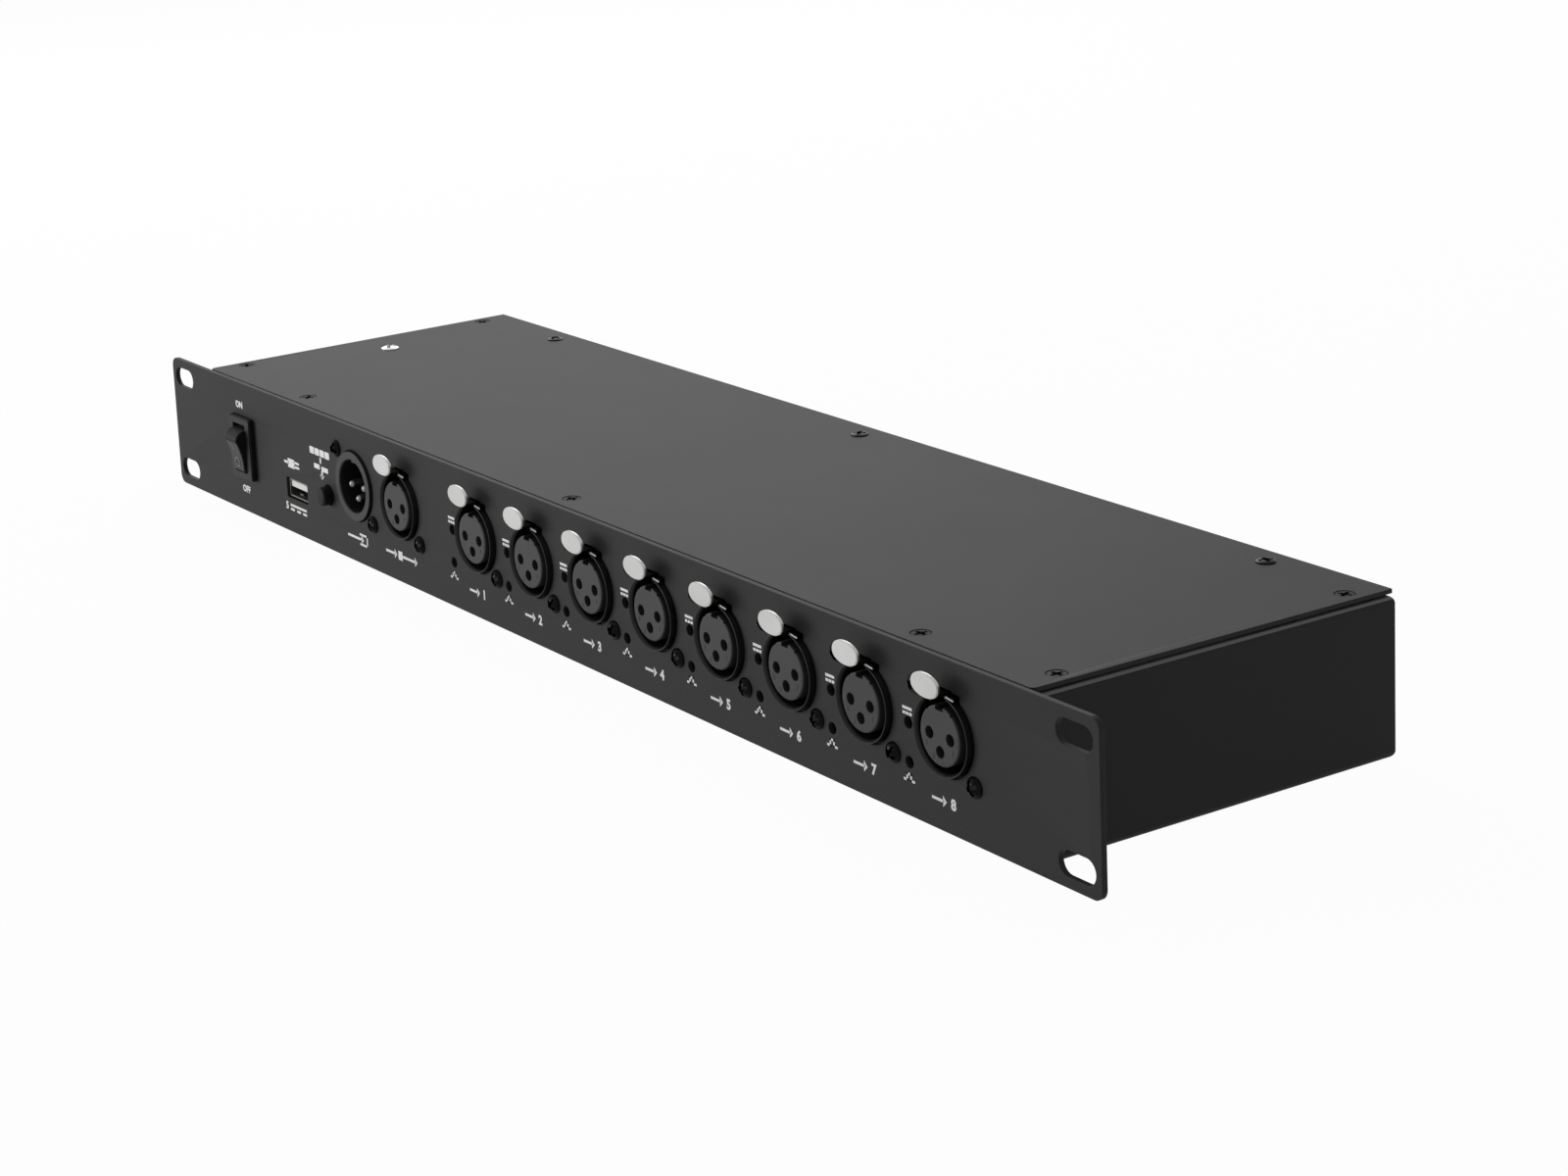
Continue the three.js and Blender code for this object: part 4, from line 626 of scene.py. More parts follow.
def front_panel():
    """Steel front panel with its rack slots and every cut-out, in one filled outline."""
    middle = PANEL_HEIGHT / 2
    outlines = [rounded(2 * PANEL_HALF_WIDTH, PANEL_HEIGHT, PANEL_CORNER, 0, middle)]
    outlines += [rounded(2 * SLOT_HALF_LENGTH, 2 * SLOT_RADIUS, SLOT_RADIUS, side * SLOT_X,
                         middle + level * SLOT_Z, 12) for side in (-1, 1) for level in (-1, 1)]
    outlines += [socket_hole(x) for x in SOCKETS]
    outlines.append(circle(INPUT, AXIS_Z, 11.4, 72))
    outlines += [circle(x + LAMP_OFFSET, AXIS_Z - drop, 1.6, 28)
                 for x in OUTPUTS for drop in LAMP_DROPS]
    outlines += [rounded(13.6, 19.6, 0.4, ROCKER_X, ROCKER_Z, 3),
                 rounded(14.3, 6.9, 0.8, SMALL_X, SMALL_Z, 5),
                 circle(BUTTON_X, BUTTON_Z, 3.4, 36)]
    flat = sheet(outlines, PANEL_BACK - PANEL_FRONT, 0.16)
    return moved(upright(flat), y=(PANEL_FRONT + PANEL_BACK) / 2)


def top_cover():
    """Flat cover, soft at its front corners, with a wide hole at each screw that is flush."""
    half, soft, tight = (cover_high.x - cover_low.x) / MM / 2, COVER_CORNER, 0.4
    front, rear, bottom = cover_low.y / MM + 0.2, cover_high.y / MM, cover_low.z / MM
    outline = (arc(-half + soft, front + soft, soft, 180, 270, 8)
               + arc(half - soft, front + soft, soft, 270, 360, 8)
               + arc(half - tight, rear - tight, tight, 0, 90, 4)
               + arc(-half + tight, rear - tight, tight, 90, 180, 4))
    holes = [circle(x, y, 2.7) for x, y, _ in cover_flush]
    return moved(sheet([outline, *holes], COVER_TOP - bottom, 0.15), z=(bottom + COVER_TOP) / 2)


piece("steel_front_panel", to_mesh(front_panel()), chassis, powder_coat,
      ["front_panel"])
piece("steel_top_cover", to_mesh(top_cover()), chassis, powder_coat,
      ["top_cover"])
tray = piece("folded_steel_tray", softened_copy("chassis_tray"), chassis, powder_coat,
             ["chassis_tray"])
# The bends from the flanges on top to the side walls carry a painted highlight in the lighter,
# glossier coat
refinish(tray, bend_highlight_coat, lambda face: 0.4 < face.normal.z < 0.93
         and abs(face.normal.y) < 0.1 and abs(face.center.x) > 0.214)


# ---------------------------------------------------------------- female connectors

# A connector's sizes count from its axis and from the panel's front. Its body is behind the
# panel, and its ring stands a little proud of it.
BODY_RADIUS, BODY_FOOT = 12.2, -12.9
BODY_FRONT, BODY_BACK = 1.9, 22.0
RING_FOOT = 4.4
RING_STEPS = 96
POLES = ((4.0, 0), (-4.0, 0), (0, -4.0))


def connector_body():
    """Body behind the panel: a round crown over a flat base."""
    base = [(-BODY_RADIUS, BODY_FOOT), (BODY_RADIUS, BODY_FOOT)]
    return slab(base + arc(0, 0, BODY_RADIUS, 0, 180, 48), BODY_FRONT, BODY_BACK)


def at_screws(radius, front, back, steps):
    """A round form at each of a connector's two screws."""
    return [slab(circle(side * SCREW_X, -side * SCREW_Z, radius, steps), front, back)
            for side in (-1, 1)]


def screw_ears():
    """Ears of the body behind the panel, which take the screws."""
    return at_screws(3.0, BODY_FRONT, RING_FOOT, 32)


def screw_pilots():
    """Holes for the screws in the ears."""
    return at_screws(1.2, 0.5, 6.0, 20)


def socket_housing():
    """Moulded shell: a ring whose front slopes in like a funnel, a bore and a channel."""
    outer, inner = 10.4, 9.6
    rim = [(10.32, -1.67), (10.2, -1.7), (10.12, -1.64), (9.64, -0.72), (inner, -0.55)]
    ring = turned([(0, RING_FOOT), (outer, RING_FOOT), (outer, -1.55), *rim, (inner, 2.0),
                   (0, 2.0)], RING_STEPS)
    bore = turned([(0, -3.5), (inner, -3.5), (inner, 15.0), (0, 15.0)], RING_STEPS)
    funnel = turned([(0, -3.0), (10.12, -3.0), *rim[2:], (inner, 3), (0, 3)], RING_STEPS)
    channel = box((-5.9, -3.5, 10.0), (5.9, 10.1, 14.2))
    return carved(connector_body(), joins=[ring, *screw_ears()],
                  cuts=[bore, funnel, channel, *screw_pilots()])


def contact_holder():
    """Round holder with three contact holes, a key slot and two side nicks."""
    front, back, radius = -1.7, 14.7, 7.6
    plug = turned([(0, front), (7.2, front), (7.45, front + 0.08), (7.57, front + 0.22),
                   (radius, front + 0.45), (radius, back), (0, back)], 80)
    holes = [slab(circle(x, z, 1.6), front - 1, 10.3) for x, z in POLES]
    key = box((-1.5, front - 1, 6.4), (1.5, back + 1, 9))
    nicks = [moved(box((-0.5, front - 1, -0.35), (0.5, front + 2, 0.35)), x=side * 4.6, z=6.2)
             for side in (-1, 1)]
    return carved(plug, cuts=[*holes, key, *nicks])


def letters(text, height, thickness, bold=0.0):
    """A line of figures as a flat solid in X and Z about the origin, in millimetres."""
    curve = bpy.data.curves.new("figures", "FONT")
    curve.body, curve.extrude, curve.offset = text, thickness / 2, bold
    curve.size = height * 1.37  # the font's size for figures one unit high
    curve.align_x, curve.align_y, curve.resolution_u = "CENTER", "CENTER", 3
    return upright(from_curve(curve))


def pole_numbers():
    """Raised numbers beside the contact holes."""
    marks = (("2", -5.2, -2.9), ("1", 4.9, -3.2), ("3", -2.7, -5.7))
    return together(*[moved(letters(text, 1.4, 0.08), x, -1.71, z) for text, x, z in marks])


def contact_sleeves():
    """Split spring sleeves a little way down each contact hole."""
    profile = [(1.56, 2.6), (1.56, 9.0), (1.2, 9.0), (1.2, 2.75), (1.3, 2.6)]
    return together(*at_each(POLES, lambda: turned(profile, 32, solid=False)))


socket_places = [(x, PANEL_FRONT, AXIS_Z) for x in SOCKETS]
row_of("socket_shells", socket_housing(), socket_places, moulded_nylon,
       [f"{name}_socket_housing" for name in SOCKET_NAMES])
row_of("contact_holders", contact_holder(), socket_places, holder_polyester,
       [f"{name}_socket_insert" for name in SOCKET_NAMES])
row_of("pole_numbers", pole_numbers(), socket_places, moulded_nylon)
row_of("contact_sleeves", contact_sleeves(), socket_places, shaded_nickel)


# ---------------------------------------------------------------- latches

def latch_outline(x):
    """Outline of the push tab: an oval, a little fuller than an ellipse."""
    def full(part):
        return math.copysign(abs(part) ** 0.94, part)
    half_width, half_height, middle = 5.3, 3.1, AXIS_Z + 13.7
    turns = [2 * math.pi * step / 64 for step in range(64)]
    return [(x + half_width * full(math.cos(turn)), middle + half_height * full(math.sin(turn)))
            for turn in turns]


def latch_tab(x):
    """Stamped and plated tab with eased edges, and the front end of the strip under it in the same
    plate.
    """
    front = PANEL_FRONT - 6.0
    tab = eased(slab(latch_outline(x), front, front + 0.9), 0.24, 3, sharper=0.9)
    lip = [(2.3, 10.35), (5.6, 9.95), (5.6, 10.35), (2.3, 10.8)]
    return together(tab, slab([(x + u, AXIS_Z + v) for u, v in lip], PANEL_FRONT - 1.7,
                              PANEL_FRONT - 1.4))


def latch_stem(x):
    """Neck under the tab and the strip in the shell's channel, both black: painted shade under the
    tab.
    """
    foot, back = AXIS_Z + 10.3, PANEL_FRONT + 8
    neck = box((x - 2.3, PANEL_FRONT - 5.5, foot), (x + 2.3, back, AXIS_Z + 11.3))
    strip = box((x - 5.6, PANEL_FRONT - 1.5, foot), (x + 5.6, back, AXIS_Z + 10.8))
    return together(eased(neck, 0.12, 2), eased(strip, 0.12, 2))


for x, label in zip(SOCKETS, SOCKET_NAMES):
    piece(f"{label}_push_latch", to_mesh(latch_tab(x)), f"{label}_latch_body", satin_nickel,
          [f"{label}_latch"])
    # The latch is one plated piece; its neck and strip are drawn black as painted shade
    piece(f"{label}_latch_stem", to_mesh(latch_stem(x)), f"{label}_latch_body", black_oxide_and_latch_shade)


# ---------------------------------------------------------------- male connector

# The pins and all round them sit a little lower than the poles of the female ones
PLUG_POLES = [(x, z - 0.3) for x, z in POLES]


def plug_shell():
    """Moulded cup with a wide flat rim, a smooth bore and the keying rib at its top."""
    outer, inner = 11.0, 8.4
    ring = turned([(0, RING_FOOT), (outer, RING_FOOT), (outer, -0.9), (10.95, -0.97),
                   (10.86, -1.0), (0, -1.0)], RING_STEPS)
    bore = turned([(0, -4), (8.75, -4), (8.75, -1.0), (8.45, -0.75), (inner, -0.6), (inner, 24),
                   (0, 24)], RING_STEPS)
    rib = box((-1.3, 0, 7.4), (1.3, 13.7, 8.9))
    shell = carved(connector_body(), joins=[ring, *screw_ears()], cuts=[bore, *screw_pilots()])
    return together(shell, rib)


def nosed(radius, tip, back, segments):
    """A round rod along Y, from the half-round nose at its tip to a flat back."""
    angles = [math.radians(degrees) for degrees in range(0, 91, 15)]
    nose = [(radius * math.sin(angle), tip + radius * (1 - math.cos(angle))) for angle in angles]
    return turned([*nose, (radius, back), (0, back)], segments)


def plug_pins():
    """Three turned contacts with round noses."""
    return together(*at_each(PLUG_POLES, lambda: nosed(1.2, 0.3, 23.0, 32)))


def plug_base():
    """Moulded disc at the bottom of the cup, with a raised collar round each contact."""
    hole, rim = 1.5, 2.1
    disc = turned([(0, 14), (8.1, 14), (8.1, 19), (0, 19)], 72)
    holes = [slab(circle(x, z, hole), 12, 21) for x, z in PLUG_POLES]
    collar = [(hole, 13.4), (rim, 13.4), (rim, 14.5), (hole, 14.5)]
    collars = at_each(PLUG_POLES, lambda: turned(collar, 32, solid=False))
    return together(carved(disc, cuts=holes), *collars)


def at_input(shape):
    """A form made about the origin, moved to the input's place."""
    return moved(shape, INPUT, PANEL_FRONT, AXIS_Z)


piece("input_plug_shell", to_mesh(at_input(plug_shell())), chassis, plug_nylon,
      ["in_plug_housing"])
piece("input_plug_base", to_mesh(at_input(plug_base())), chassis, moulded_nylon,
      ["in_plug_insert"])
piece("input_plug_pins", to_mesh(at_input(plug_pins())), chassis, shaded_nickel,
      [f"in_plug_pin_{number}" for number in (1, 2, 3)])


# ---------------------------------------------------------------- indicators

def lamp_pair():
    """Two domed lamps, one above the other."""
    places = [(0, -drop) for drop in LAMP_DROPS]
    return together(*at_each(places, lambda: nosed(1.45, 1.4, 5.2, 28)))


def lamp_holder():
    """Black block that both lamps sit in."""
    return eased(box((-1.9, 4.8, -12.9), (1.9, 9.2, 1.1)), 0.2, 2)


lamp_places = [(x + LAMP_OFFSET, PANEL_FRONT, AXIS_Z) for x in OUTPUTS]
row_of("lamp_holders", lamp_holder(), lamp_places, moulded_nylon,
       [f"out_{number}_indicator" for number in range(1, 9)])
row_of("lamp_domes", lamp_pair(), lamp_places, lamp_epoxy)


# ---------------------------------------------------------------- rocker and button

# The rocker's face is a shallow dish: where its middle is from the axle, how much further
# forward its two ends reach, and how high they are
DISH_FRONT, DISH_RISE, DISH_HALF = -7.2, 0.55, 4.9
# It leans by this many degrees about an axle this far behind the panel's front
ROCKER_LEAN, AXLE_DEPTH = 13.5, 3.4
PADDLE_HALF_WIDTH = 4.0


def rocker_bezel():
    """Switch body behind a proud frame with eased edges."""
    proud = eased(slab(rounded(15, 21, 1.0), -2.0, -0.3), 0.35, 3, sharper=0.9,
                  where=lambda corner: corner.y < -1.9)
    well = slab([(-4, 7.56), (0.5, 9), (12, 9), (12, -9), (0.5, -9), (-4, -7.56)],
                -4.25, 4.25, "x")
    lugs = [box((-0.4, 16.2, side * 3.5 - 2.4), (0.4, 25, side * 3.5 + 2.4)) for side in (-1, 1)]
    return carved(box((-6.5, -1.0, -9.5), (6.5, 17, 9.5)), joins=[proud, *lugs], cuts=[well])


def on_face(z):
    """Depth of the rocker's dished face at a height, from its axle."""
    return DISH_FRONT - DISH_RISE * (z / DISH_HALF) ** 2


def rocker_profile():
    """Side view of the rocker about its axle: a dished face between two rounded ends."""
    face = [(on_face(z), z) for z in [DISH_HALF * step / 12 for step in range(-12, 13)]]
    upper = [(-7.735, 5.2), (-7.66, 5.55), (-7.53, 5.87), (-7.35, 6.15)]
    for step in range(1, 6):
        angle, radius = math.radians(40 + 15 * step / 5), 9.58 - 0.18 * step / 5
        upper.append((-radius * math.cos(angle), radius * math.sin(angle)))
    lower = [(y, -z) for y, z in reversed(upper)]
    return face + upper + [(1.2, 7.7), (6.0, 3.4), (6.0, -3.4), (1.2, -7.7)] + lower


def rocker_paddle():
    """The rocker, level, with the edges of its front eased."""
    paddle = slab(rocker_profile(), -PADDLE_HALF_WIDTH, PADDLE_HALF_WIDTH, "x")
    return eased(paddle, 0.3, 3, sharper=0.4, where=lambda corner: corner.y < -4.0, clamp=True)


def on_dish(shape, x, z):
    """A mark made about the origin, laid along the slope of the dished face."""
    slope = Matrix.Rotation(math.atan(2 * DISH_RISE * z / DISH_HALF ** 2), 3, "X")
    bmesh.ops.rotate(shape, cent=(0, 0, 0), matrix=slope, verts=shape.verts)
    return moved(shape, x, on_face(z), z)


def rocker_marks():
    """Moulded marks: a stroke on the upper half, a ring on the lower one."""
    stroke = box((-0.2, -0.1, -1.2), (0.2, 0.3, 1.2))
    ring = turned([(1.3, -0.12), (1.65, -0.12), (1.65, 0.3), (1.3, 0.3)], 36, solid=False)
    return together(on_dish(stroke, 0, 2.8), on_dish(ring, 0, -2.9))


def at_rocker(shape):
    """From the rocker's own level frame to where it rests, its lower end pressed in."""
    lean = Matrix.Rotation(math.radians(ROCKER_LEAN), 3, "X")
    bmesh.ops.rotate(shape, cent=(0, 0, 0), matrix=lean, verts=shape.verts)
    return moved(shape, ROCKER_X, PANEL_FRONT + AXLE_DEPTH, ROCKER_Z)


bezel = piece("rocker_bezel", to_mesh(moved(rocker_bezel(), ROCKER_X, PANEL_FRONT, ROCKER_Z)),
              chassis, black_acetal_and_side_shade, ["rocker_frame"])
# The frame's face is in the ABS; its sides stay in the deeper black as painted shade
refinish(bezel, switch_plastic, lambda face: face.normal.y < -0.9)
paddle = piece("rocker_paddle", to_mesh(at_rocker(rocker_paddle())), "rocker_body", black_acetal_and_side_shade,
               ["rocker"])
# The face is charcoal, painted light, up to the line where it starts to turn in at its upper end;
# the upper end above stays black as painted shade
refinish(paddle, rocker_face_painted_light, lambda face: face.normal.y < -0.85
         and face.center.z < (ROCKER_Z + 2.7) * MM)
piece("rocker_marks", to_mesh(at_rocker(rocker_marks())), "rocker_body", mark_inlay)

button_profile = [(0, -3.3), (2.3, -3.3), (2.7, -3.2), (2.93, -2.97), (3.0, -2.6), (3.0, 2.3),
                  (1.5, 2.3), (1.5, 7.3), (0, 7.3)]
button = moved(turned(button_profile, 48), BUTTON_X, PANEL_FRONT, BUTTON_Z)
piece("button_cap_round", to_mesh(button), "button_cap_body", black_acetal_and_side_shade,
      ["button_cap"])
piece("button_switch_body", softened_copy("button_body"), chassis, switch_plastic,
      ["button_body"])


# ---------------------------------------------------------------- small socket

def small_socket_shell():
    """Folded and plated shell of one sheet, with two spring tongues in its floor."""
    width, height, folded, front, back = 13.2, 5.8, 0.8, 0.8, 15.8
    outer = rounded(width, height, 0.6, 0, 0, 6)
    inner = rounded(width - folded, height - folded, 0.25, 0, 0, 6)
    shape = bmesh.new()
    rings = [[shape.verts.new((x, y, z)) for x, z in outline] for outline, y in (
        (outer, back), (outer, 0.95), (outer, front), (inner, front), (inner, 1.1), (inner, back))]
    for near, far in zip(rings, rings[1:] + rings[:1]):
        for step in range(len(near)):
            following = (step + 1) % len(near)
            shape.faces.new([near[step], near[following], far[following], far[step]])
    bmesh.ops.recalc_face_normals(shape, faces=shape.faces)
    springs = [box((side * 3.0 - 1.2, 3.0, -2.5), (side * 3.0 + 1.2, 9.0, -2.2))
               for side in (-1, 1)]
    return together(shape, *springs)


def small_socket_tongue():
    """Moulded tongue that fills the upper half of the mouth, on the core at its back."""
    tongue = eased(box((-5.9, 1.2, 0.2), (5.9, 12.0, 2.2)), 0.15, 2)
    return together(tongue, box((-6.1, 11.6, -2.4), (6.1, 15.6, 2.4)))


def small_socket_contacts():
    """Four flat contacts under the tongue."""
    return together(*[box((x - 0.6, 2.6, 0.08), (x + 0.6, 11.0, 0.2))
                      for x in (-3.75, -1.25, 1.25, 3.75)])


def at_small_socket(shape):
    """A form made about the origin, moved to the small socket's place."""
    return moved(shape, SMALL_X, PANEL_FRONT, SMALL_Z)


piece("small_socket_shell", to_mesh(at_small_socket(small_socket_shell())), chassis,
      shaded_nickel, ["usb_shell"])
piece("small_socket_tongue", to_mesh(at_small_socket(small_socket_tongue())), chassis,
      white_nylon, ["usb_tongue"])
piece("small_socket_contacts", to_mesh(at_small_socket(small_socket_contacts())), chassis,
      gold_flash)


# ---------------------------------------------------------------- print on the panel

# The ink's front and its foot, which is just inside the panel so that no gap shows
INK_FRONT, INK_FOOT = -0.04, 0.02


def patch(outline):
    """A printed area."""
    return slab(outline, INK_FRONT, INK_FOOT)


def bar(x0, z0, x1, z1, width):
    """A straight printed stroke from one point to another."""
    along = Vector((x1 - x0, z1 - z0)).normalized() * width / 2
    side = Vector((-along.y, along.x))
    ends = ((x0, z0, -1, -1), (x1, z1, 1, -1), (x1, z1, 1, 1), (x0, z0, -1, 1))
    return patch([(x + a * along.x + s * side.x, z + a * along.y + s * side.y)
                  for x, z, a, s in ends])


def bent_line(points, width):
    """Printed strokes from each point to the next."""
    return [bar(*near, *far, width) for near, far in zip(points, points[1:])]


def arrow(x0, x1, z, width=0.75, head=1.45):
    """An arrow to the right."""
    return together(bar(x0, z, x1 - head, z, width),
                    patch([(x1 - head, z - head), (x1, z), (x1 - head, z + head)]))


def written(text, height, bold, x, z):
    """Printed figures about a point."""
    return moved(letters(text, height, 0.06, bold), x, -0.01, z)


def steady_mark(x, z):
    """A long stroke over three short ones: steady current."""
    dashes = [bar(x + step * 1.3 - 0.16, z - 0.65, x + step * 1.3 + 0.16, z - 0.65, 0.75)
              for step in (-1, 0, 1)]
    return together(bar(x - 1.5, z + 0.65, x + 1.5, z + 0.65, 0.75), *dashes)


def pulse_mark(x, z):
    """A square pulse: traffic on the line."""
    turns = [(-1.9, -0.8), (-0.8, -0.8), (-0.8, 0.8), (0.7, 0.8), (0.7, -0.8), (1.9, -0.8)]
    return together(*bent_line([(x + a, z + b) for a, b in turns], 0.65))


def output_marks(number, x):
    """An arrow and the number under an output, and the two marks beside its lamps."""
    return [arrow(x - 5.6, x - 0.2, 7.7), written(str(number), 2.8, 0.17, x + 2.4, 7.7),
            steady_mark(x - 14.8, 27.0), pulse_mark(x - 14.8, 10.0)]


def input_marks():
    """An arrow into a box under the input, and one through a box under the through socket."""
    bracket = bent_line([(-110.6, 9.6), (-106.2, 9.6), (-106.2, 6.4), (-110.6, 6.4)], 0.7)
    return [arrow(-118.4, -108.4, 8.0, 0.8, 1.5), *bracket,
            arrow(-93.6, -87.0, 8.4, 0.8, 1.5), arrow(-83.0, -74.4, 8.4, 0.8, 1.5),
            patch([(-86.2, 7.0), (-83.6, 7.0), (-83.6, 9.8), (-86.2, 9.8)])]


def switch_marks():
    """The words over and under the rocker."""
    return [written("ON", 2.25, 0.13, -191.1, 36.3), written("OFF", 2.25, 0.13, -190.0, 7.7)]


def small_socket_marks():
    """A plug over the small socket, and its volts with a steady-current mark under it."""
    return [patch([(-157.8, 21.9), (-153.2, 21.9), (-153.2, 24.9), (-157.8, 24.9)]),
            bar(-160.0, 23.4, -157.8, 23.4, 0.9), bar(-153.2, 22.7, -150.4, 22.7, 0.8),
            bar(-153.2, 24.1, -150.4, 24.1, 0.8), written("5", 2.4, 0.16, -160.3, 8.5),
            bar(-157.6, 9.2, -147.2, 9.2, 0.8),
            *[bar(x, 7.8, x + 1.9, 7.8, 0.8) for x in (-157.6, -153.3, -149.1)]]


def button_marks():
    """Four small boxes over the button, and a line of flow that leads from them to it."""
    boxes = [patch(rounded(3.0, 2.3, 0.3, x, 31.0, 3)) for x in (-140.1, -136.7, -133.3, -129.9)]
    return [*boxes, bar(-134.6, 28.9, -134.6, 28.1, 1.0), bar(-138.4, 26.2, -136.2, 26.2, 1.6),
            bar(-133.4, 25.9, -130.6, 25.9, 1.6), bar(-134.0, 24.6, -134.0, 23.6, 1.0),
            patch([(-135.4, 23.8), (-132.6, 23.8), (-134.0, 22.3)])]


def panel_print():
    """Every printed mark, as one piece."""
    marks = [mark for number, x in enumerate(OUTPUTS, start=1) for mark in output_marks(number, x)]
    marks += [*input_marks(), *switch_marks(), *small_socket_marks(), *button_marks()]
    return moved(together(*marks), y=PANEL_FRONT)


piece("panel_print", to_mesh(panel_print(), recalculate=False), chassis, print_ink)


# ---------------------------------------------------------------- mains inlet and the inside

def inlet_moulding():
    """Moulded inlet: a flange with eased edges, a six-sided well and the drawer's bay under it."""
    flange = eased(slab(rounded(30.6, 36, 2.0), 0.3, 2.5), 0.5, 3, sharper=0.9,
                   where=lambda corner: corner.y > 2.4)
    well = slab([(-12.1, -2.2), (12.1, -2.2), (12.1, 9.8), (7.7, 14.2), (-7.7, 14.2),
                 (-12.1, 9.8)], -14.5, 4)
    bay = box((-11.8, -19.8, -15.4), (11.8, 4, -5.8))
    slots = [box((x - 1.3, -26, z - 2.3), (x + 1.3, 2.4, z + 2.3))
             for x, z in ((0, 9.6), (7, 4.6), (-7, 4.6))]
    return carved(box((-13.5, -24, -16), (13.5, 1.4, 16)), joins=[flange],
                  cuts=[well, bay, *slots])


def fuse_rod(radius, left, right):
    """A round of the fuse, which lies across the drawer."""
    return slab(circle(0, 0, radius), left, right, "x")


def at_fuse(shape):
    """A form made about the origin, moved to the fuse's place in its drawer."""
    return moved(shape, INLET_X, REAR_WALL - 8.5, INLET_Z - 10.6)


inlet = moved(inlet_moulding(), INLET_X, REAR_WALL, INLET_Z)
piece("mains_inlet_moulding", to_mesh(inlet), chassis, switch_plastic,
      ["inlet_body"])
drawer = piece("fuse_drawer_moulding", softened_copy("fuse_drawer"), "fuse_drawer_body",
               switch_plastic, ["fuse_drawer"])
edge = drawer.modifiers.new("eased", "BEVEL")
edge.width, edge.segments, edge.limit_method = 0.25 * MM, 2, "ANGLE"

fuse_caps = together(*[eased(fuse_rod(2.6, left, left + 4), 0.3, 2, sharper=0.9)
                       for left in (-9.0, 5.0)])
piece("fuse_tube", to_mesh(at_fuse(fuse_rod(2.4, -5.2, 5.2))), "fuse_drawer_body", fuse_glass,
      ["fuse"])
piece("fuse_caps", to_mesh(at_fuse(fuse_caps)), "fuse_drawer_body", satin_nickel)

# Solids that are shown as they are
for name, material in {
        "inlet_pin_earth": tinned_blade, "inlet_pin_line": tinned_blade,
        "inlet_pin_neutral": tinned_blade, "main_board": board_resist,
        "supply_board": board_resist, "supply_transformer": ferrite,
        "supply_capacitor": sleeved_can}.items():
    dress(nodes[name], material)


# ---------------------------------------------------------------- camera, light and floor

# The photograph's camera: the frame and the focal length in pixels, the point of the frame
# that the lens looks straight at, its place in millimetres and its angles in radians
FRAME_WIDTH, FRAME_HEIGHT, FOCAL = 1600, 1200, 3456.73
AIM_X, AIM_Y = 626.45, 278.98
CAMERA_PLACE = (796.346, -525.778, 302.456)
AZIMUTH, ELEVATION, ROLL = 1.0141092, 0.2076072, -0.0519702
SENSOR = 36.0


def photo_camera():
    """Long lens from the right and a little above, turned and shifted as the photograph is."""
    back = Vector((math.sin(AZIMUTH) * math.cos(ELEVATION),
                   -math.cos(AZIMUTH) * math.cos(ELEVATION), math.sin(ELEVATION)))
    level = (-back).cross(Vector((0, 0, 1))).normalized()
    over = level.cross(-back)
    right = math.cos(ROLL) * level + math.sin(ROLL) * over
    up = -math.sin(ROLL) * level + math.cos(ROLL) * over
    lens = bpy.data.cameras.new("camera")
    lens.sensor_width = SENSOR
    lens.lens = FOCAL / FRAME_WIDTH * SENSOR
    lens.shift_x = (FRAME_WIDTH / 2 - AIM_X) / FRAME_WIDTH
    lens.shift_y = (AIM_Y - FRAME_HEIGHT / 2) / FRAME_WIDTH
    lens.clip_end = 20.0
    camera = in_scene("camera", lens)
    turn = Matrix((right, up, back)).transposed().to_4x4()
    camera.matrix_world = Matrix.Translation(Vector(CAMERA_PLACE) * MM) @ turn
    bpy.context.scene.camera = camera


def soft_light(name, place, target, size, watts):
    """A wide soft lamp that looks at a point."""
    lamp = bpy.data.lights.new(name, "AREA")
    lamp.shape, lamp.size, lamp.size_y, lamp.energy = "RECTANGLE", size[0], size[1], watts
    holder = in_scene(name, lamp)
    holder.location = place
    looking = (Vector(target) - Vector(place)).to_track_quat("-Z", "Y")
    holder.rotation_euler = looking.to_euler()


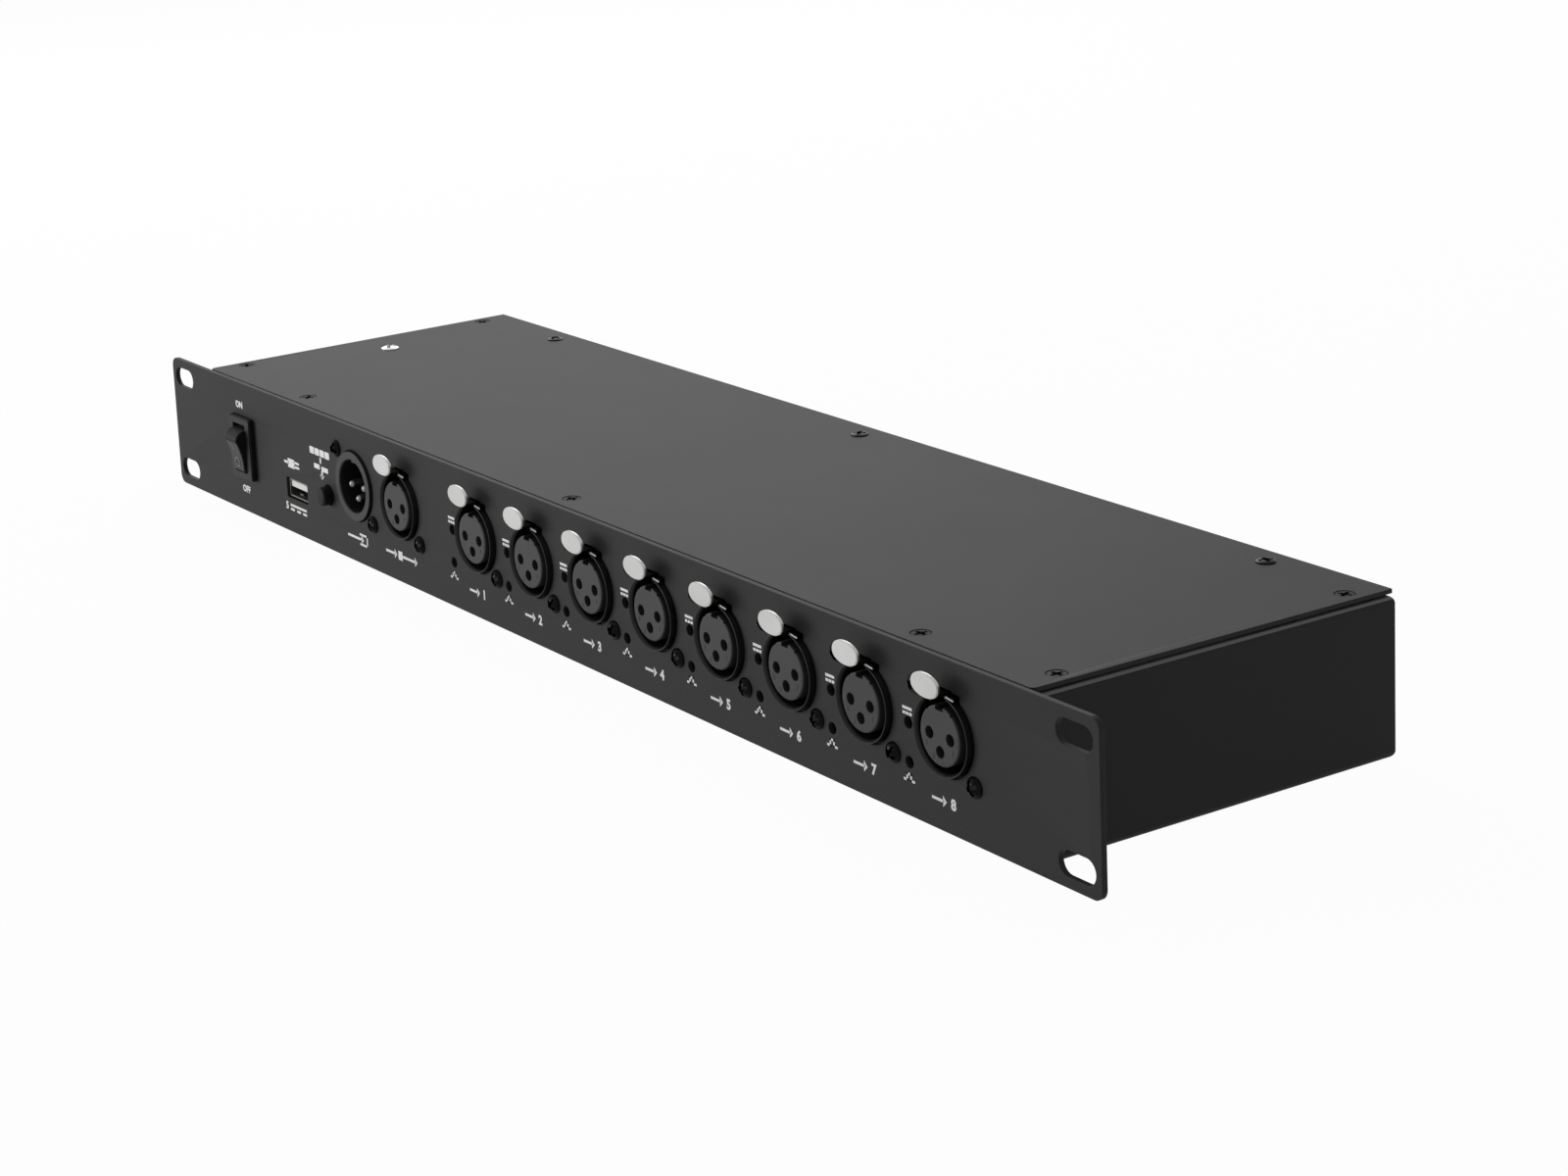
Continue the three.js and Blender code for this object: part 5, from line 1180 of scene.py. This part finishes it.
def seen_white(tree):
    """1 for the rays of the camera, of a gloss and through glass, 0 for those that light."""
    path = add(tree, "ShaderNodeLightPath")
    gloss = add(tree, "ShaderNodeMath", {
        0: path.outputs["Is Glossy Ray"], 1: path.outputs["Is Transmission Ray"]},
        operation="MAXIMUM")
    seen = add(tree, "ShaderNodeMath", {0: path.outputs["Is Camera Ray"], 1: gloss.outputs[0]},
               operation="MAXIMUM")
    return seen.outputs[0]


def pale_surroundings():
    """White behind everything that is seen, and a low even light from it on the object."""
    world = bpy.data.worlds.new("studio")
    bpy.context.scene.world = world
    world.use_nodes = True
    tree = world.node_tree
    tree.nodes.clear()
    low = add(tree, "ShaderNodeBackground", {"Color": linear("#ffffff"), "Strength": 0.26})
    white = add(tree, "ShaderNodeBackground", {"Color": linear("#ffffff"), "Strength": 1.0})
    mixed = add(tree, "ShaderNodeMixShader", {
        0: seen_white(tree), 1: low.outputs[0], 2: white.outputs[0]})
    add(tree, "ShaderNodeOutputWorld", {"Surface": mixed.outputs[0]})


def pale_floor():
    """A matt white floor just under the object, nearly all glow, that keeps its shadow."""
    glow_share, half_size, gap = 0.97, 6.0, 0.0004
    material = bpy.data.materials.new("studio_floor")
    material.use_nodes = True
    tree = material.node_tree
    tree.nodes.clear()
    share = add(tree, "ShaderNodeMath", {0: seen_white(tree), 1: glow_share},
                operation="MULTIPLY")
    paint = add(tree, "ShaderNodeBsdfDiffuse", {"Color": linear("#f2f2f2")})
    glow = add(tree, "ShaderNodeEmission", {"Color": linear("#ffffff"), "Strength": 1.0})
    mixed = add(tree, "ShaderNodeMixShader", {
        0: share.outputs[0], 1: paint.outputs[0], 2: glow.outputs[0]})
    add(tree, "ShaderNodeOutputMaterial", {"Surface": mixed.outputs[0]})
    shape = bmesh.new()
    bmesh.ops.create_grid(shape, x_segments=1, y_segments=1, size=half_size)
    floor = in_scene("floor", as_mesh(moved(shape, z=-gap), "floor"))
    floor.data.materials.append(material)


photo_camera()
pale_surroundings()
pale_floor()
soft_light("key", place=(-1.1, -1.3, 0.28), target=(0.0, -0.06, 0.02), size=(1.0, 0.6), watts=17)
soft_light("overhead", place=(-1.1, 0.5, 0.8), target=(0.0, 0.0, 0.0), size=(1.2, 0.9), watts=9.5)
bpy.context.scene.view_settings.view_transform = "Standard"
